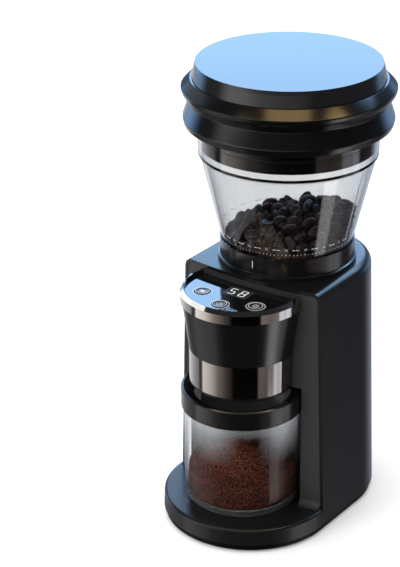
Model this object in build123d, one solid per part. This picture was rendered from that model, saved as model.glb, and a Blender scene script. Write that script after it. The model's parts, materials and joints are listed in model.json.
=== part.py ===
"""Burr coffee grinder with a bellows lid, a turning hopper and a grounds jar.

Millimetres. The front faces -Y, +Z is up, and the origin lies on the floor under the middle of the part.
"""
from build123d import *
import os
from math import asin, atan2, cos, degrees, pi, radians, sin, sqrt

# Plan of the machine
HOPPER_Y = 17.8            # upright axis of hopper, burrs and collar
JAR_Y = -40.7              # upright axis of jar and pod
PLINTH_FRONT_Y = -30.6     # centre of the plinth's round front
REAR_Y = 23.8              # centre of the round back
FRONT_Y = -29.1            # front edges of the tower's side walls
FRONT_BULGE = 5.4          # how far the tower's face bows forward between them

# Housing
FOOT_H = 1.6               # gap under the base plate
BASE_PLATE_T = 4.4
PLINTH_H = 13.0            # plinth above the base plate
TOWER_H = 175.3            # tower above the plinth
TOP_LEDGE = 8.1            # tower's top beside the collar
DRAFT = 5.7                # how much wider each side is at the bottom of the housing
WALL = 2.6
TOP_EDGE_R = 7.0
PLINTH_EDGE_R = 2.0
BASE_INSET = 1.4           # base plate stands in from the housing
FOOT_R = 9.0
FOOT_SINK = 0.8
VENT_LENGTH = 30.0
VENT_WIDTH = 3.0
VENT_PITCH = 7.0
VENT_COUNT = 5
BOSS_R = 4.2

# Front panel and jar bay
PANEL_T = 3.0
PANEL_GAP = 0.25
PANEL_RECESS = 0.4
BAY_GAP = 1.2              # round the jar's ring
BAY_OVER_POD = 1.0         # bay's ceiling above the pod's floor
COVE_R = 4.0
COVE_LIP = 1.0

# Jar
JAR_R = 43.4
JAR_WALL = 2.4
JAR_FLOOR = 4.0
JAR_CORNER_R = 8.0
JAR_NECK_H = 10.0
JAR_NECK_STEP = 1.1
JAR_RING_OVER = 2.0        # ring stands out from the glass
JAR_RING_H = 14.6
JAR_RING_LIP = 1.9
JAR_RING_EDGE = 0.8
JAR_MOUTH_IN = 9.4         # mouth, in from the ring's outside
JAR_FUNNEL_DROP = 3.6

# Pod under the control panel
POD_GAP_OVER_JAR = 4.4     # jar ring to pod floor
POD_FLOOR_T = 3.2
POD_BEVEL = 2.2
BAND_H = 25.2
BAND_T = 0.8
POD_TAPER = 5.1            # band, in from the pod's top
POD_WALL = 2.2
TRIM_BELOW_TOP = 3.9       # trim ring under the tower's top
TRIM_PROUD = 1.2           # trim ring out from the pod
TRIM_H = 10.2
TRIM_FACE_H = 7.0
TRIM_RIM = 2.8
TRIM_RIM_FLAT = 0.7
TRIM_RIM_EDGE = 0.4
TRIM_LEDGE = 3.5
TRIM_LEDGE_T = 2.0
PANEL_BELOW_TRIM = 3.3
GLASS_T = 2.4

# Keys, display and boards
KEY_R = 5.9
KEY_GAP = 0.3
KEY_INSET = 13.6           # keys' centres, in from the trim ring's lip
KEY_ANGLES = {"left": 218.0, "middle": 270.0, "right": 323.0}
KEY_TRAVEL = 0.8
KEY_PROUD = 0.5
KEY_FLANGE_R = 7.2
KEY_FLANGE_T = 1.2
KEY_STEM_R = 1.8
KEY_EDGE = 0.3
KEY_RIM = 0.9              # flat rim round the dish
KEY_DISH = 0.5
DISPLAY_W = 21.0
DISPLAY_D = 14.0
DISPLAY_Y = -5.6           # middle of the window, from the pod axis
LENS_T = 0.9
LENS_LEDGE = 1.0
BOARD_T = 1.6
BOARD_DROP = 8.6           # control panel to control board
SWITCH_SIDE = 6.0
SWITCH_H = 3.4
SWITCH_BUTTON_H = 1.0
POST_R = 2.4
POST_INSET = 8.1           # board posts, in from the trim ring's lip
BOARD_EDGE_GAP = 1.0

# Collar and hopper
COLLAR_BORE_R = 48.9
COLLAR_WALL = 1.0
COLLAR_H = 16.7
COLLAR_FLANGE = 1.4        # foot of the collar, out from its wall
COLLAR_FLANGE_H = 3.0
COLLAR_FLOOR_T = 2.5
COLLAR_FLOOR_W = 4.6
TOP_HOLE_STEP = 0.7        # hole in the tower's top, in from the collar's
HOPPER_FIT = 0.5           # hopper in collar
HOPPER_FLARE = 15.8        # how much wider the cone is at its top
HOPPER_STEP = 1.6
HOPPER_WALL = 2.2
HOPPER_FOOT_H = 13.1
HOPPER_CONE_H = 65.2
HOPPER_RIM_H = 24.6
HOPPER_STEP_H = 1.5
THROAT_H = 8.0
FUNNEL_DROP = 5.5
LUG_W = 8.0
LUG_D = 6.0
LUG_COUNT = 3
LUG_ROOT = 2.3             # how far a lug reaches into the sloping floor

# Bellows lid
PLUG_CLEAR = 0.5
PLUG_DEPTH = 17.5
PLUG_WALL = 3.0
LID_OVERHANG = 3.6         # lid flange, out from the hopper's rim
LID_FLANGE_T = 2.6
SEAL_R = 0.9
LIP_DROP = 0.6             # bellows' underside below the lid flange
LOWER_UNDER_OUT = 6.2      # corners of the folds before their rounding, out from the lid flange
LOWER_LIP_OUT = 7.3
WAIST_OUT = 3.0
UPPER_UNDER_OUT = 7.5
UPPER_LIP_OUT = 8.6
LOWER_LIP_H = 5.0          # heights from corner to corner, going up
WAIST_H = 12.4
UPPER_UNDER_H = 6.6
UPPER_LIP_H = 3.2
CAP_FOLD_H = 6.5
BELLOWS_WALL = 2.4
BELLOWS_GRIP = 2.9         # how far the bellows reaches in over the lid flange
LIP_ROUND = 3.0
LIP_EDGE_ROUND = 1.2
CAP_SKIRT_OUT = 0.6        # out from the lid flange
CAP_LEAN = 1.7             # how much the cap's wall leans in
CAP_EDGE = 0.8
CAP_H = 11.6
CAP_BEVEL = 3.0
CAP_WALL = 2.4

# Burrs and their housing
CHAMBER_R = 30.2
CHAMBER_WALL = 3.0
CHAMBER_DEPTH = 39.7
CHAMBER_FLOOR_T = 3.0
CHAMBER_FLANGE_IN = 3.4    # flange, in from the collar's bore
CHAMBER_FLANGE_T = 3.0
EAR_R = 3.8
EAR_COUNT = 4
OUTLET_W = 20.0
OUTLET_H = 12.0
OUTLET_SILL = 2.6
ADJUST_H = 5.0
ADJUST_GAP = 0.4           # ring's bore outside the chamber's
CARRIER_H = 27.4
CARRIER_WALL = 3.3
CARRIER_LEDGE_W = 2.6
CARRIER_LEDGE_T = 2.0
CARRIER_SKIRT = 2.0        # carrier below the ring burr
CARRIER_TRAVEL = 0.6       # up and down from the middle setting
KEYWAY_W = 5.0
RING_BURR_H = 15.0
RING_BURR_TOP_T = 1.6
RING_BURR_LOW_T = 4.2
RING_BURR_TEETH = 12
GROOVE_D = 2.4
GROOVE_W = 1.6
GROOVE_OUT = 0.6
BURR_GAP = 0.6
CONE_H = 20.5
CONE_TOP_T = 4.0           # cone round the shaft, at its top
CONE_LAND = 3.0
CONE_TEETH = 6
FLUTE_D = 4.4
FLUTE_W = 3.6
FLUTE_OUT = 1.6
SWEEPER_GAP = 1.4
SWEEPER_T = 2.0
SWEEPER_HUB_R = 9.0
SWEEPER_HUB_H = 15.6
PADDLE_COUNT = 4
PADDLE_T = 3.0
PADDLE_LENGTH = 8.6
SHAFT_R = 4.0
NUT_R = 6.5
NUT_H = 3.0

# Gearbox and motor
MODULE = 1.0
OUTPUT_TEETH = 42
IDLER_SMALL_TEETH = 14
IDLER_LARGE_TEETH = 44
PINION_TEETH = 12
BACKLASH = 0.4
COVER_BOSS_H = 4.0
COVER_BOSS_R = 15.0
COVER_T = 3.0
GEAR_ROOM = 17.0
GEARBOX_WALL = 2.5
GEARBOX_BASE_T = 4.0
LARGE_GEAR_T = 6.0
SMALL_GEAR_T = 7.0
GEAR_END_GAP = 1.0
BEARING_R = 11.0
BEARING_H = 7.0
BUSHING_R = 7.0
IDLER_PIN_R = 2.5
MOTOR_R = 26.0
MOTOR_H = 61.0
MOTOR_WALL = 2.0
ROTOR_R = 18.0
ROTOR_H = 36.0
COMMUTATOR_R = 8.0
MOTOR_SHAFT_R = 2.5
MAGNET_T = 3.4
MAGNET_ARC = 140.0

# Chute, power board and cord inlet
CHUTE_WALL = 1.8
SPOUT_DEPTH = 14.0
POWER_BOARD_W = 52.0
POWER_BOARD_D = 44.0
POWER_BOARD_Y = 46.0
POWER_BOARD_H = 16.0
GLAND_R = 6.0
GLAND_FLANGE_R = 9.0
GLAND_FLANGE_T = 2.4
GLAND_BORE_R = 3.2
GLAND_H = 24.0             # above the floor

# Clearances and fasteners
SEAT = 0.1                 # faces that lie against each other
SLIDE_GAP = 0.2            # flat faces that slide over each other
TURN_GAP = 0.3             # round faces of different bodies
RUN_FIT = 0.3              # shaft in bearing
SCREW_R = 1.4
SCREW_HEAD_R = 2.8
SCREW_HEAD_H = 2.0
SCREW_CLEAR = 0.2

# Levels worked out from the sizes above
HOUSING_Z = FOOT_H + BASE_PLATE_T
TRAY_Z = HOUSING_Z + PLINTH_H
TOWER_Z = TRAY_Z + TOWER_H
CEILING_Z = TOWER_Z - WALL
TRAY_UNDER_Z = TRAY_Z - WALL

# Gearbox and motor hang from the tower's top, the bay ends under the gearbox, and the jar fits under the pod
CHAMBER_Z = CEILING_Z - CHAMBER_DEPTH
CHAMBER_UNDER_Z = CHAMBER_Z - CHAMBER_FLOOR_T
COVER_TOP_Z = CHAMBER_UNDER_Z - COVER_BOSS_H
GEAR_CEILING_Z = COVER_TOP_Z - COVER_T
GEAR_FLOOR_Z = GEAR_CEILING_Z - GEAR_ROOM
MOTOR_TOP_Z = GEAR_FLOOR_Z - GEARBOX_BASE_T
MOTOR_Z = MOTOR_TOP_Z - MOTOR_H
LARGE_GEAR_Z = GEAR_FLOOR_Z + GEAR_END_GAP
SMALL_GEAR_Z = LARGE_GEAR_Z + LARGE_GEAR_T + GEAR_END_GAP
BEARING_Z = GEAR_CEILING_Z - GEAR_END_GAP
BAY_TOP_Z = MOTOR_TOP_Z - SCREW_HEAD_H - SEAT - PANEL_T

TRIM_TOP_Z = TOWER_Z - TRIM_BELOW_TOP
TRIM_Z = TRIM_TOP_Z - TRIM_H
GLASS_Z = TRIM_TOP_Z - PANEL_BELOW_TRIM
BOARD_Z = GLASS_Z - GLASS_T - BOARD_DROP
POD_Z = BAY_TOP_Z - BAY_OVER_POD
BAND_Z = POD_Z + POD_FLOOR_T
TAPER_Z = BAND_Z + BAND_H

JAR_Z = TRAY_Z + SLIDE_GAP
JAR_RING_TOP_Z = POD_Z - POD_GAP_OVER_JAR
JAR_RING_Z = JAR_RING_TOP_Z - JAR_RING_H
NECK_Z = JAR_RING_Z - SLIDE_GAP
JAR_TOP_Z = NECK_Z + JAR_NECK_H

# Radii of jar, bay and pod
JAR_RING_R = JAR_R + JAR_RING_OVER
JAR_MOUTH_R = JAR_RING_R - JAR_MOUTH_IN
BAY_R = JAR_RING_R + BAY_GAP
TRIM_R = JAR_RING_R
TRIM_LIP_R = TRIM_R - TRIM_RIM
POD_TOP_R = TRIM_R - TRIM_PROUD
BAND_R = POD_TOP_R - POD_TAPER
KEY_RING = TRIM_LIP_R - KEY_INSET
BOARD_POST_RING = TRIM_LIP_R - POST_INSET

# Radii round the burr axis, from the collar outwards and inwards
COLLAR_R = COLLAR_BORE_R + COLLAR_WALL
COLLAR_FLANGE_R = COLLAR_R + COLLAR_FLANGE
COLLAR_HOLE_R = COLLAR_BORE_R - COLLAR_FLOOR_W
TOP_HOLE_R = COLLAR_HOLE_R - TOP_HOLE_STEP
EAR_RADIUS = (COLLAR_HOLE_R + COLLAR_BORE_R) / 2
CHAMBER_FLANGE_R = COLLAR_BORE_R - CHAMBER_FLANGE_IN
HOPPER_FOOT_R = COLLAR_BORE_R - HOPPER_FIT
HOPPER_STEP_R = HOPPER_FOOT_R + HOPPER_FLARE
HOPPER_RIM_R = HOPPER_STEP_R + HOPPER_STEP
LID_FLANGE_R = HOPPER_RIM_R + LID_OVERHANG
CAP_SKIRT_R = LID_FLANGE_R + CAP_SKIRT_OUT
ADJUST_R = TOP_HOLE_R - TURN_GAP
ADJUST_BORE_R = CHAMBER_R + ADJUST_GAP
LUG_RADIUS = (ADJUST_BORE_R + ADJUST_R) / 2
CARRIER_R = CHAMBER_R - TURN_GAP
CARRIER_BORE_R = CARRIER_R - CARRIER_WALL
THROAT_OUT_R = CARRIER_BORE_R - 2 * TURN_GAP
THROAT_R = THROAT_OUT_R - HOPPER_WALL
RING_BURR_R = CARRIER_BORE_R - CARRIER_LEDGE_W
RING_BURR_TOP_R = RING_BURR_R - RING_BURR_TOP_T
RING_BURR_LOW_R = RING_BURR_R - RING_BURR_LOW_T
CONE_R = RING_BURR_LOW_R - BURR_GAP
CONE_TOP_R = SHAFT_R + CONE_TOP_T
SWEEPER_R = CHAMBER_R - SWEEPER_GAP

# Half widths of the housing at its top and bottom
TOWER_TOP_HALF = COLLAR_FLANGE_R + TOP_LEDGE
PLINTH_HALF = TOWER_TOP_HALF + DRAFT

COLLAR_TOP_Z = TOWER_Z + COLLAR_H
HOPPER_Z = TOWER_Z + COLLAR_FLOOR_T + TURN_GAP
HOPPER_CONE_Z = HOPPER_Z + HOPPER_FOOT_H
HOPPER_STEP_Z = HOPPER_CONE_Z + HOPPER_CONE_H
HOPPER_TOP_Z = HOPPER_STEP_Z + HOPPER_RIM_H
HOPPER_INNER_R = HOPPER_RIM_R - HOPPER_WALL

LID_FLANGE_Z = HOPPER_TOP_Z + SLIDE_GAP
LID_FLANGE_TOP_Z = LID_FLANGE_Z + LID_FLANGE_T
BELLOWS_Z = LID_FLANGE_Z - LIP_DROP
LOWER_LIP_Z = BELLOWS_Z + LOWER_LIP_H
WAIST_Z = LOWER_LIP_Z + WAIST_H
UPPER_UNDER_Z = WAIST_Z + UPPER_UNDER_H
UPPER_LIP_Z = UPPER_UNDER_Z + UPPER_LIP_H
BELLOWS_TOP_Z = UPPER_LIP_Z + CAP_FOLD_H
CAP_Z = BELLOWS_TOP_Z + SEAT
PLUG_R = HOPPER_INNER_R - PLUG_CLEAR

CHAMBER_OUT_R = CHAMBER_R + CHAMBER_WALL
OUTLET_Z = CHAMBER_Z + OUTLET_SILL
ADJUST_Z = CEILING_Z + SLIDE_GAP
ADJUST_TOP_Z = ADJUST_Z + ADJUST_H
CARRIER_TOP_Z = ADJUST_TOP_Z - CARRIER_TRAVEL - SLIDE_GAP
CARRIER_Z = CARRIER_TOP_Z - CARRIER_H
RING_BURR_Z = CARRIER_Z + CARRIER_SKIRT
RING_BURR_TOP_Z = RING_BURR_Z + RING_BURR_H
THROAT_Z = HOPPER_Z + COLLAR_FLOOR_T + SLIDE_GAP - THROAT_H
SWEEPER_Z = CHAMBER_Z + 2 * SLIDE_GAP
CONE_Z = SWEEPER_Z + SWEEPER_HUB_H
NUT_Z = CONE_Z + CONE_H

# The three gear axes stand in a triangle, and the motor is straight behind the burrs
OUTPUT_SPACING = MODULE * (OUTPUT_TEETH + IDLER_SMALL_TEETH) / 2
MOTOR_SPACING = MODULE * (PINION_TEETH + IDLER_LARGE_TEETH) / 2
MOTOR_Y = HOPPER_Y + OUTPUT_SPACING
IDLER_ANGLE = 90 - 2 * degrees(asin(MOTOR_SPACING / (2 * OUTPUT_SPACING)))
IDLER_X = OUTPUT_SPACING * cos(radians(IDLER_ANGLE))
IDLER_Y = HOPPER_Y + OUTPUT_SPACING * sin(radians(IDLER_ANGLE))

# The tower's face is a slice of a large upright cylinder
FRONT_R = (TOWER_TOP_HALF ** 2 + FRONT_BULGE ** 2) / (2 * FRONT_BULGE)
FRONT_CENTRE_Y = FRONT_Y - FRONT_BULGE + FRONT_R

# The spout drops just in front of the tower's face
SPOUT_Y = FRONT_Y - FRONT_BULGE - CHUTE_WALL - SPOUT_DEPTH / 2

SKY_Z = 2 * TOWER_Z        # taller than anything that is cut
UP = (Align.CENTER, Align.CENTER, Align.MIN)


def disc(radius, low, high, x=0.0, y=0.0):
    """Upright cylinder between two heights."""
    return Pos(x, y, low) * Cylinder(radius, high - low, align=UP)


def block(width, depth, low, high, x=0.0, y=0.0):
    """Upright box between two heights, centred on x and y."""
    return Pos(x, y, low) * Box(width, depth, high - low, align=UP)


def rod(radius, start_y, end_y, x, z):
    """Cylinder along Y."""
    return Pos(x, end_y, z) * Rot(90, 0, 0) * Cylinder(radius, end_y - start_y, align=UP)


def turned(points, y=0.0, rounds=()):
    """Solid of revolution about the upright axis at y; rounds holds (point index, radius)."""
    face = make_face(Polyline(*points, close=True))
    for index, radius in rounds:
        corner = face.vertices().sort_by_distance(Vector(*points[index]))[0]
        face = fillet(corner, radius)
    return Pos(0, y, 0) * revolve(Plane.XZ * face, Axis.Z)


def ring_places(radius, count, first_angle=0.0, y=0.0):
    """Points spread evenly round the upright axis at y."""
    for i in range(count):
        angle = radians(first_angle + 360.0 * i / count)
        yield radius * cos(angle), y + radius * sin(angle)


def half_width(z):
    """Half width of the housing's outside at a height."""
    share = (z - HOUSING_Z) / (TOWER_Z - HOUSING_Z)
    return PLINTH_HALF + (TOWER_TOP_HALF - PLINTH_HALF) * share


def stadium(half):
    """Plan of the housing: straight sides, round front and round back."""
    outline = [
        Line((half, PLINTH_FRONT_Y), (half, REAR_Y)),
        ThreePointArc((half, REAR_Y), (0, REAR_Y + half), (-half, REAR_Y)),
        Line((-half, REAR_Y), (-half, PLINTH_FRONT_Y)),
        ThreePointArc((-half, PLINTH_FRONT_Y), (0, PLINTH_FRONT_Y - half), (half, PLINTH_FRONT_Y)),
    ]
    return make_face(outline)


def tapered(inset, low, high):
    """Block of the housing's plan, set in from the outside, between two heights."""
    return loft([Pos(0, 0, z) * stadium(half_width(z) - inset) for z in (low, high)])


def behind_face(proud=0.0):
    """Everything behind the tower's bowed face; proud moves the face forward."""
    return disc(FRONT_R + proud, 0, SKY_Z, y=FRONT_CENTRE_Y)


def face_y(x, proud=0.0):
    """Y of the bowed face at x."""
    return FRONT_CENTRE_Y - sqrt((FRONT_R + proud) ** 2 - x * x)


def tower_room(inset):
    """Inside of the tower, set in further by inset, with rounded upper edges."""
    room = tapered(WALL + inset, TRAY_Z, CEILING_Z - inset)
    return fillet(room.edges().group_by(Axis.Z)[-1], TOP_EDGE_R - WALL - inset)


def screw(x, y, under_head_z, length, pointing=-1):
    """Upright screw; pointing -1 has its shank below the head."""
    shank = sorted((under_head_z, under_head_z + pointing * length))
    head = sorted((under_head_z, under_head_z - pointing * SCREW_HEAD_H))
    return disc(SCREW_R, *shank, x, y) + disc(SCREW_HEAD_R, *head, x, y)


def screw_hole(x, y, low, high):
    """Clearance hole for an upright screw."""
    return disc(SCREW_R + SCREW_CLEAR, low, high, x, y)


# Places of the fasteners and feet
REAR_BOSS_ANGLE = 60.0
BASE_SCREWS = [
    (side * x, y)
    for side in (-1, 1)
    for x, y in (
        (0.62 * PLINTH_HALF, PLINTH_FRONT_Y - 0.6 * PLINTH_HALF),
        (PLINTH_HALF - WALL - BOSS_R, FRONT_Y + 6 * BOSS_R),
        ((PLINTH_HALF - WALL - BOSS_R) * cos(radians(REAR_BOSS_ANGLE)),
         REAR_Y + (PLINTH_HALF - WALL - BOSS_R) * sin(radians(REAR_BOSS_ANGLE))),
    )
]
FEET = [
    (side * 0.62 * PLINTH_HALF, y)
    for side in (-1, 1)
    for y in (PLINTH_FRONT_Y - 0.3 * PLINTH_HALF, REAR_Y + 0.3 * PLINTH_HALF)
]
EARS = list(ring_places(EAR_RADIUS, EAR_COUNT, 45.0, HOPPER_Y))
GEARBOX_SCREW_RADIUS = CHAMBER_R - SCREW_HEAD_R
GEARBOX_SCREWS = [
    (GEARBOX_SCREW_RADIUS * cos(radians(a)), HOPPER_Y + GEARBOX_SCREW_RADIUS * sin(radians(a)))
    for a in (165.0, 240.0, 320.0)
]
MOTOR_SCREW_RADIUS = 0.5 * MOTOR_R
MOTOR_SCREWS = [(-MOTOR_SCREW_RADIUS, MOTOR_Y), (0.0, MOTOR_Y + MOTOR_SCREW_RADIUS)]
POD_SCREW_X = BAND_R - POD_WALL - SCREW_R - SEAT
POD_SCREW_Z = TAPER_Z + 2.8 * BOSS_R
POWER_POSTS = [
    (sx * 0.42 * POWER_BOARD_W, POWER_BOARD_Y + sy * 0.38 * POWER_BOARD_D)
    for sx in (-1, 1)
    for sy in (-1, 1)
]
BOARD_POSTS = [
    (BOARD_POST_RING * cos(radians(a)), JAR_Y + BOARD_POST_RING * sin(radians(a)))
    for a in (0.0, 180.0, 244.0, 296.0)
]


def main_housing():
    """Tower and plinth in one shell, open below and at the tower's face."""
    before_tower = block(4 * PLINTH_HALF, 4 * PLINTH_HALF, TRAY_Z, SKY_Z, y=FRONT_Y) - behind_face()
    shell = tapered(0, HOUSING_Z, TOWER_Z) - before_tower
    upper = shell.edges().group_by(Axis.Z)[-1].filter_by(lambda edge: edge.center().Y > FRONT_Y + WALL)
    shell = fillet(upper, TOP_EDGE_R)
    level = shell.edges().filter_by(lambda edge: abs(edge.center().Z - TRAY_Z) < SEAT)
    rim = level.filter_by(
        lambda edge: edge.center().Y < FRONT_Y - 2 * FRONT_BULGE or edge.length < TOWER_TOP_HALF)
    shell = fillet(rim, PLINTH_EDGE_R)

    under_tray = tapered(WALL, HOUSING_Z - WALL, TRAY_UNDER_Z)
    well = tapered(WALL, TRAY_UNDER_Z, TRAY_Z) & behind_face(-PANEL_RECESS - PANEL_T - SEAT)
    well -= disc(BAY_R + PANEL_T + SEAT, 0, SKY_Z, y=JAR_Y)
    shell = shell - under_tray - well - tower_room(0)

    for x, y in BASE_SCREWS:
        top = TRAY_UNDER_Z if y < FRONT_Y else TRAY_Z + BOSS_R
        shell += disc(BOSS_R, HOUSING_Z, top, x, y) & tapered(SEAT, HOUSING_Z, TOWER_Z)
        shell -= screw_hole(x, y, HOUSING_Z, TRAY_UNDER_Z - WALL)
    shell -= disc(TOP_HOLE_R, CEILING_Z - WALL, TOWER_Z, y=HOPPER_Y)
    for x, y in EARS:
        shell -= screw_hole(x, y, CEILING_Z - WALL, TOWER_Z)
    wall_y = REAR_Y + half_width(GLAND_H)
    return shell - rod(GLAND_R + SEAT, wall_y - 2 * WALL, wall_y + WALL, 0, GLAND_H)


def front_panel():
    """Bowed face of the tower, with the round bay for the jar and a coved foot."""
    room = tower_room(PANEL_GAP)
    body = room & behind_face(-PANEL_RECESS)
    panel = body - behind_face(-PANEL_RECESS - PANEL_T)
    panel += disc(BAY_R + PANEL_T, TRAY_Z, BAY_TOP_Z + PANEL_T, y=JAR_Y) & body

    foot_r = FRONT_R - PANEL_RECESS
    foot = Pos(foot_r - PANEL_T, TRAY_Z) * Rectangle(
        PANEL_T + COVE_R, COVE_R + COVE_LIP, align=(Align.MIN, Align.MIN))
    foot -= Pos(foot_r + COVE_R, TRAY_Z + COVE_LIP + COVE_R) * Circle(COVE_R)
    sweep_angle = 2.5 * degrees(TOWER_TOP_HALF / FRONT_R)
    cove = Rot(0, 0, -90 - sweep_angle / 2) * revolve(Plane.XZ * foot, Axis.Z, sweep_angle)
    panel += Pos(0, FRONT_CENTRE_Y, 0) * cove & room

    panel -= disc(BAY_R, TRAY_Z, BAY_TOP_Z, y=JAR_Y)
    panel -= block(OUTLET_W + 2 * CHUTE_WALL + SCREW_CLEAR, 6 * PANEL_T, OUTLET_Z - CHUTE_WALL - SEAT,
                   OUTLET_Z + OUTLET_H + CHUTE_WALL + SEAT, y=FRONT_Y)
    for side in (-1, 1):
        x = side * POD_SCREW_X
        panel -= rod(SCREW_R + SCREW_CLEAR, face_y(x) - PANEL_T, face_y(x) + 3 * PANEL_T, x, POD_SCREW_Z)
    return panel


def base_plate():
    """Cover under the plinth, with vents, foot pockets and posts for the power board."""
    plate = extrude(stadium(PLINTH_HALF - BASE_INSET), BASE_PLATE_T)
    plate = Pos(0, 0, FOOT_H) * plate
    for i in range(VENT_COUNT):
        x = (i - (VENT_COUNT - 1) / 2) * VENT_PITCH
        slot = Pos(x, REAR_Y, FOOT_H) * extrude(SlotOverall(VENT_LENGTH, VENT_WIDTH, 90), BASE_PLATE_T)
        plate -= slot
    for x, y in FEET:
        plate -= disc(FOOT_R + SEAT, 0, FOOT_H + FOOT_SINK, x, y)
    for x, y in BASE_SCREWS:
        plate -= screw_hole(x, y, 0, HOUSING_Z)
        plate -= disc(SCREW_HEAD_R + SCREW_CLEAR, 0, FOOT_H + SCREW_HEAD_H, x, y)
    for x, y in POWER_POSTS:
        plate += disc(POST_R, HOUSING_Z, HOUSING_Z + POWER_BOARD_H, x, y)
    return plate


def rubber_feet():
    return Compound([disc(FOOT_R, 0, FOOT_H + FOOT_SINK, x, y) for x, y in FEET])


def base_screws():
    length = TRAY_UNDER_Z - 2 * WALL - FOOT_H - SCREW_HEAD_H
    return Compound([screw(x, y, FOOT_H + SCREW_HEAD_H, length, 1) for x, y in BASE_SCREWS])


def hopper_collar():
    """Ring on the tower's top that the hopper turns in."""
    floor_z = TOWER_Z + COLLAR_FLOOR_T
    flange_z = TOWER_Z + COLLAR_FLANGE_H
    step = COLLAR_FLANGE_R - COLLAR_R
    ring = turned([
        (COLLAR_HOLE_R, TOWER_Z), (COLLAR_FLANGE_R, TOWER_Z), (COLLAR_FLANGE_R, flange_z),
        (COLLAR_R, flange_z + step / 3), (COLLAR_R, COLLAR_TOP_Z), (COLLAR_BORE_R, COLLAR_TOP_Z),
        (COLLAR_BORE_R, floor_z), (COLLAR_HOLE_R, floor_z),
    ], HOPPER_Y)
    for x, y in EARS:
        ring -= screw_hole(x, y, TOWER_Z, floor_z - SLIDE_GAP)
    return ring


def collar_screws():
    under_z = CEILING_Z - CHAMBER_FLANGE_T
    length = CHAMBER_FLANGE_T + WALL + COLLAR_FLOOR_T - 2 * SLIDE_GAP
    return Compound([screw(x, y, under_z, length, 1) for x, y in EARS])


def burr_housing():
    """Cup that holds the burrs, hung from the tower's top, with an outlet at the front."""
    flange_z = CEILING_Z - CHAMBER_FLANGE_T
    bore = SHAFT_R + 2 * TURN_GAP
    cup = turned([
        (bore, CHAMBER_UNDER_Z), (CHAMBER_OUT_R, CHAMBER_UNDER_Z), (CHAMBER_OUT_R, flange_z),
        (CHAMBER_FLANGE_R, flange_z), (CHAMBER_FLANGE_R, CEILING_Z), (CHAMBER_R, CEILING_Z),
        (CHAMBER_R, CHAMBER_Z), (bore, CHAMBER_Z),
    ], HOPPER_Y)
    for x, y in EARS:
        cup += disc(EAR_R, flange_z, CEILING_Z, x, y)
        cup -= screw_hole(x, y, flange_z, CEILING_Z)
    cup -= block(OUTLET_W, 2 * CHAMBER_WALL + PADDLE_LENGTH, OUTLET_Z, OUTLET_Z + OUTLET_H,
                 y=HOPPER_Y - CHAMBER_R)
    for x, y in GEARBOX_SCREWS:
        cup -= screw_hole(x, y, CHAMBER_UNDER_Z, CHAMBER_Z - SLIDE_GAP)
        cup += disc(EAR_R, COVER_TOP_Z, CHAMBER_UNDER_Z, x, y) - screw_hole(x, y, COVER_TOP_Z, CHAMBER_UNDER_Z)
    return cup


def gearbox_plan(inset=0.0):
    """Outline round the three gear axes."""
    output_r = GEARBOX_SCREW_RADIUS + EAR_R - inset
    idler_r = MODULE * (IDLER_LARGE_TEETH / 2 + 1) + 2 * GEARBOX_WALL - inset
    motor_r = MOTOR_SCREW_RADIUS + EAR_R - inset
    rings = [Pos(0, HOPPER_Y) * Circle(output_r).edge(), Pos(IDLER_X, IDLER_Y) * Circle(idler_r).edge(),
             Pos(0, MOTOR_Y) * Circle(motor_r).edge()]
    return make_hull(rings)


def gearbox_cover():
    """Upper half of the gearbox, which carries the burr shaft's bearing."""
    cover = Pos(0, 0, GEAR_FLOOR_Z) * extrude(gearbox_plan(), GEAR_ROOM + COVER_T)
    room = Pos(0, 0, GEAR_FLOOR_Z) * extrude(gearbox_plan(GEARBOX_WALL), GEAR_ROOM)
    for x, y in GEARBOX_SCREWS:
        room -= disc(EAR_R, GEAR_FLOOR_Z, GEAR_CEILING_Z, x, y)
    cover -= room
    cover += disc(COVER_BOSS_R, COVER_TOP_Z, CHAMBER_UNDER_Z, y=HOPPER_Y)
    cover -= disc(BEARING_R, GEAR_FLOOR_Z, BEARING_Z + BEARING_H, y=HOPPER_Y)
    cover -= disc(BUSHING_R, GEAR_FLOOR_Z, CHAMBER_UNDER_Z, y=HOPPER_Y)
    for x, y in GEARBOX_SCREWS:
        cover -= screw_hole(x, y, GEAR_FLOOR_Z, COVER_TOP_Z)
    return cover - disc(IDLER_PIN_R + SEAT, GEAR_CEILING_Z, GEAR_CEILING_Z + COVER_T / 2, IDLER_X, IDLER_Y)


def gearbox_base():
    """Lower plate of the gearbox, which carries the motor."""
    base = Pos(0, 0, MOTOR_TOP_Z) * extrude(gearbox_plan(), GEARBOX_BASE_T)
    base -= disc(BUSHING_R, MOTOR_TOP_Z, GEAR_FLOOR_Z, y=HOPPER_Y)
    base -= disc(IDLER_PIN_R + SEAT, MOTOR_TOP_Z, GEAR_FLOOR_Z, IDLER_X, IDLER_Y)
    base -= disc(2 * MOTOR_SHAFT_R, MOTOR_TOP_Z, GEAR_FLOOR_Z, y=MOTOR_Y)
    for x, y in GEARBOX_SCREWS:
        base -= screw_hole(x, y, MOTOR_TOP_Z, GEAR_FLOOR_Z)
    for x, y in MOTOR_SCREWS:
        base -= screw_hole(x, y, MOTOR_TOP_Z, GEAR_FLOOR_Z)
        base -= disc(SCREW_HEAD_R + SCREW_CLEAR, GEAR_FLOOR_Z - SCREW_HEAD_H, GEAR_FLOOR_Z, x, y)
    return base


def gearbox_screws():
    length = CHAMBER_Z - SLIDE_GAP - MOTOR_TOP_Z - SLIDE_GAP
    return Compound([screw(x, y, MOTOR_TOP_Z, length, 1) for x, y in GEARBOX_SCREWS])


def motor_screws():
    under_z = GEAR_FLOOR_Z - SCREW_HEAD_H
    length = GEARBOX_BASE_T - SCREW_HEAD_H + MOTOR_WALL
    return Compound([screw(x, y, under_z, length, -1) for x, y in MOTOR_SCREWS])


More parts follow.
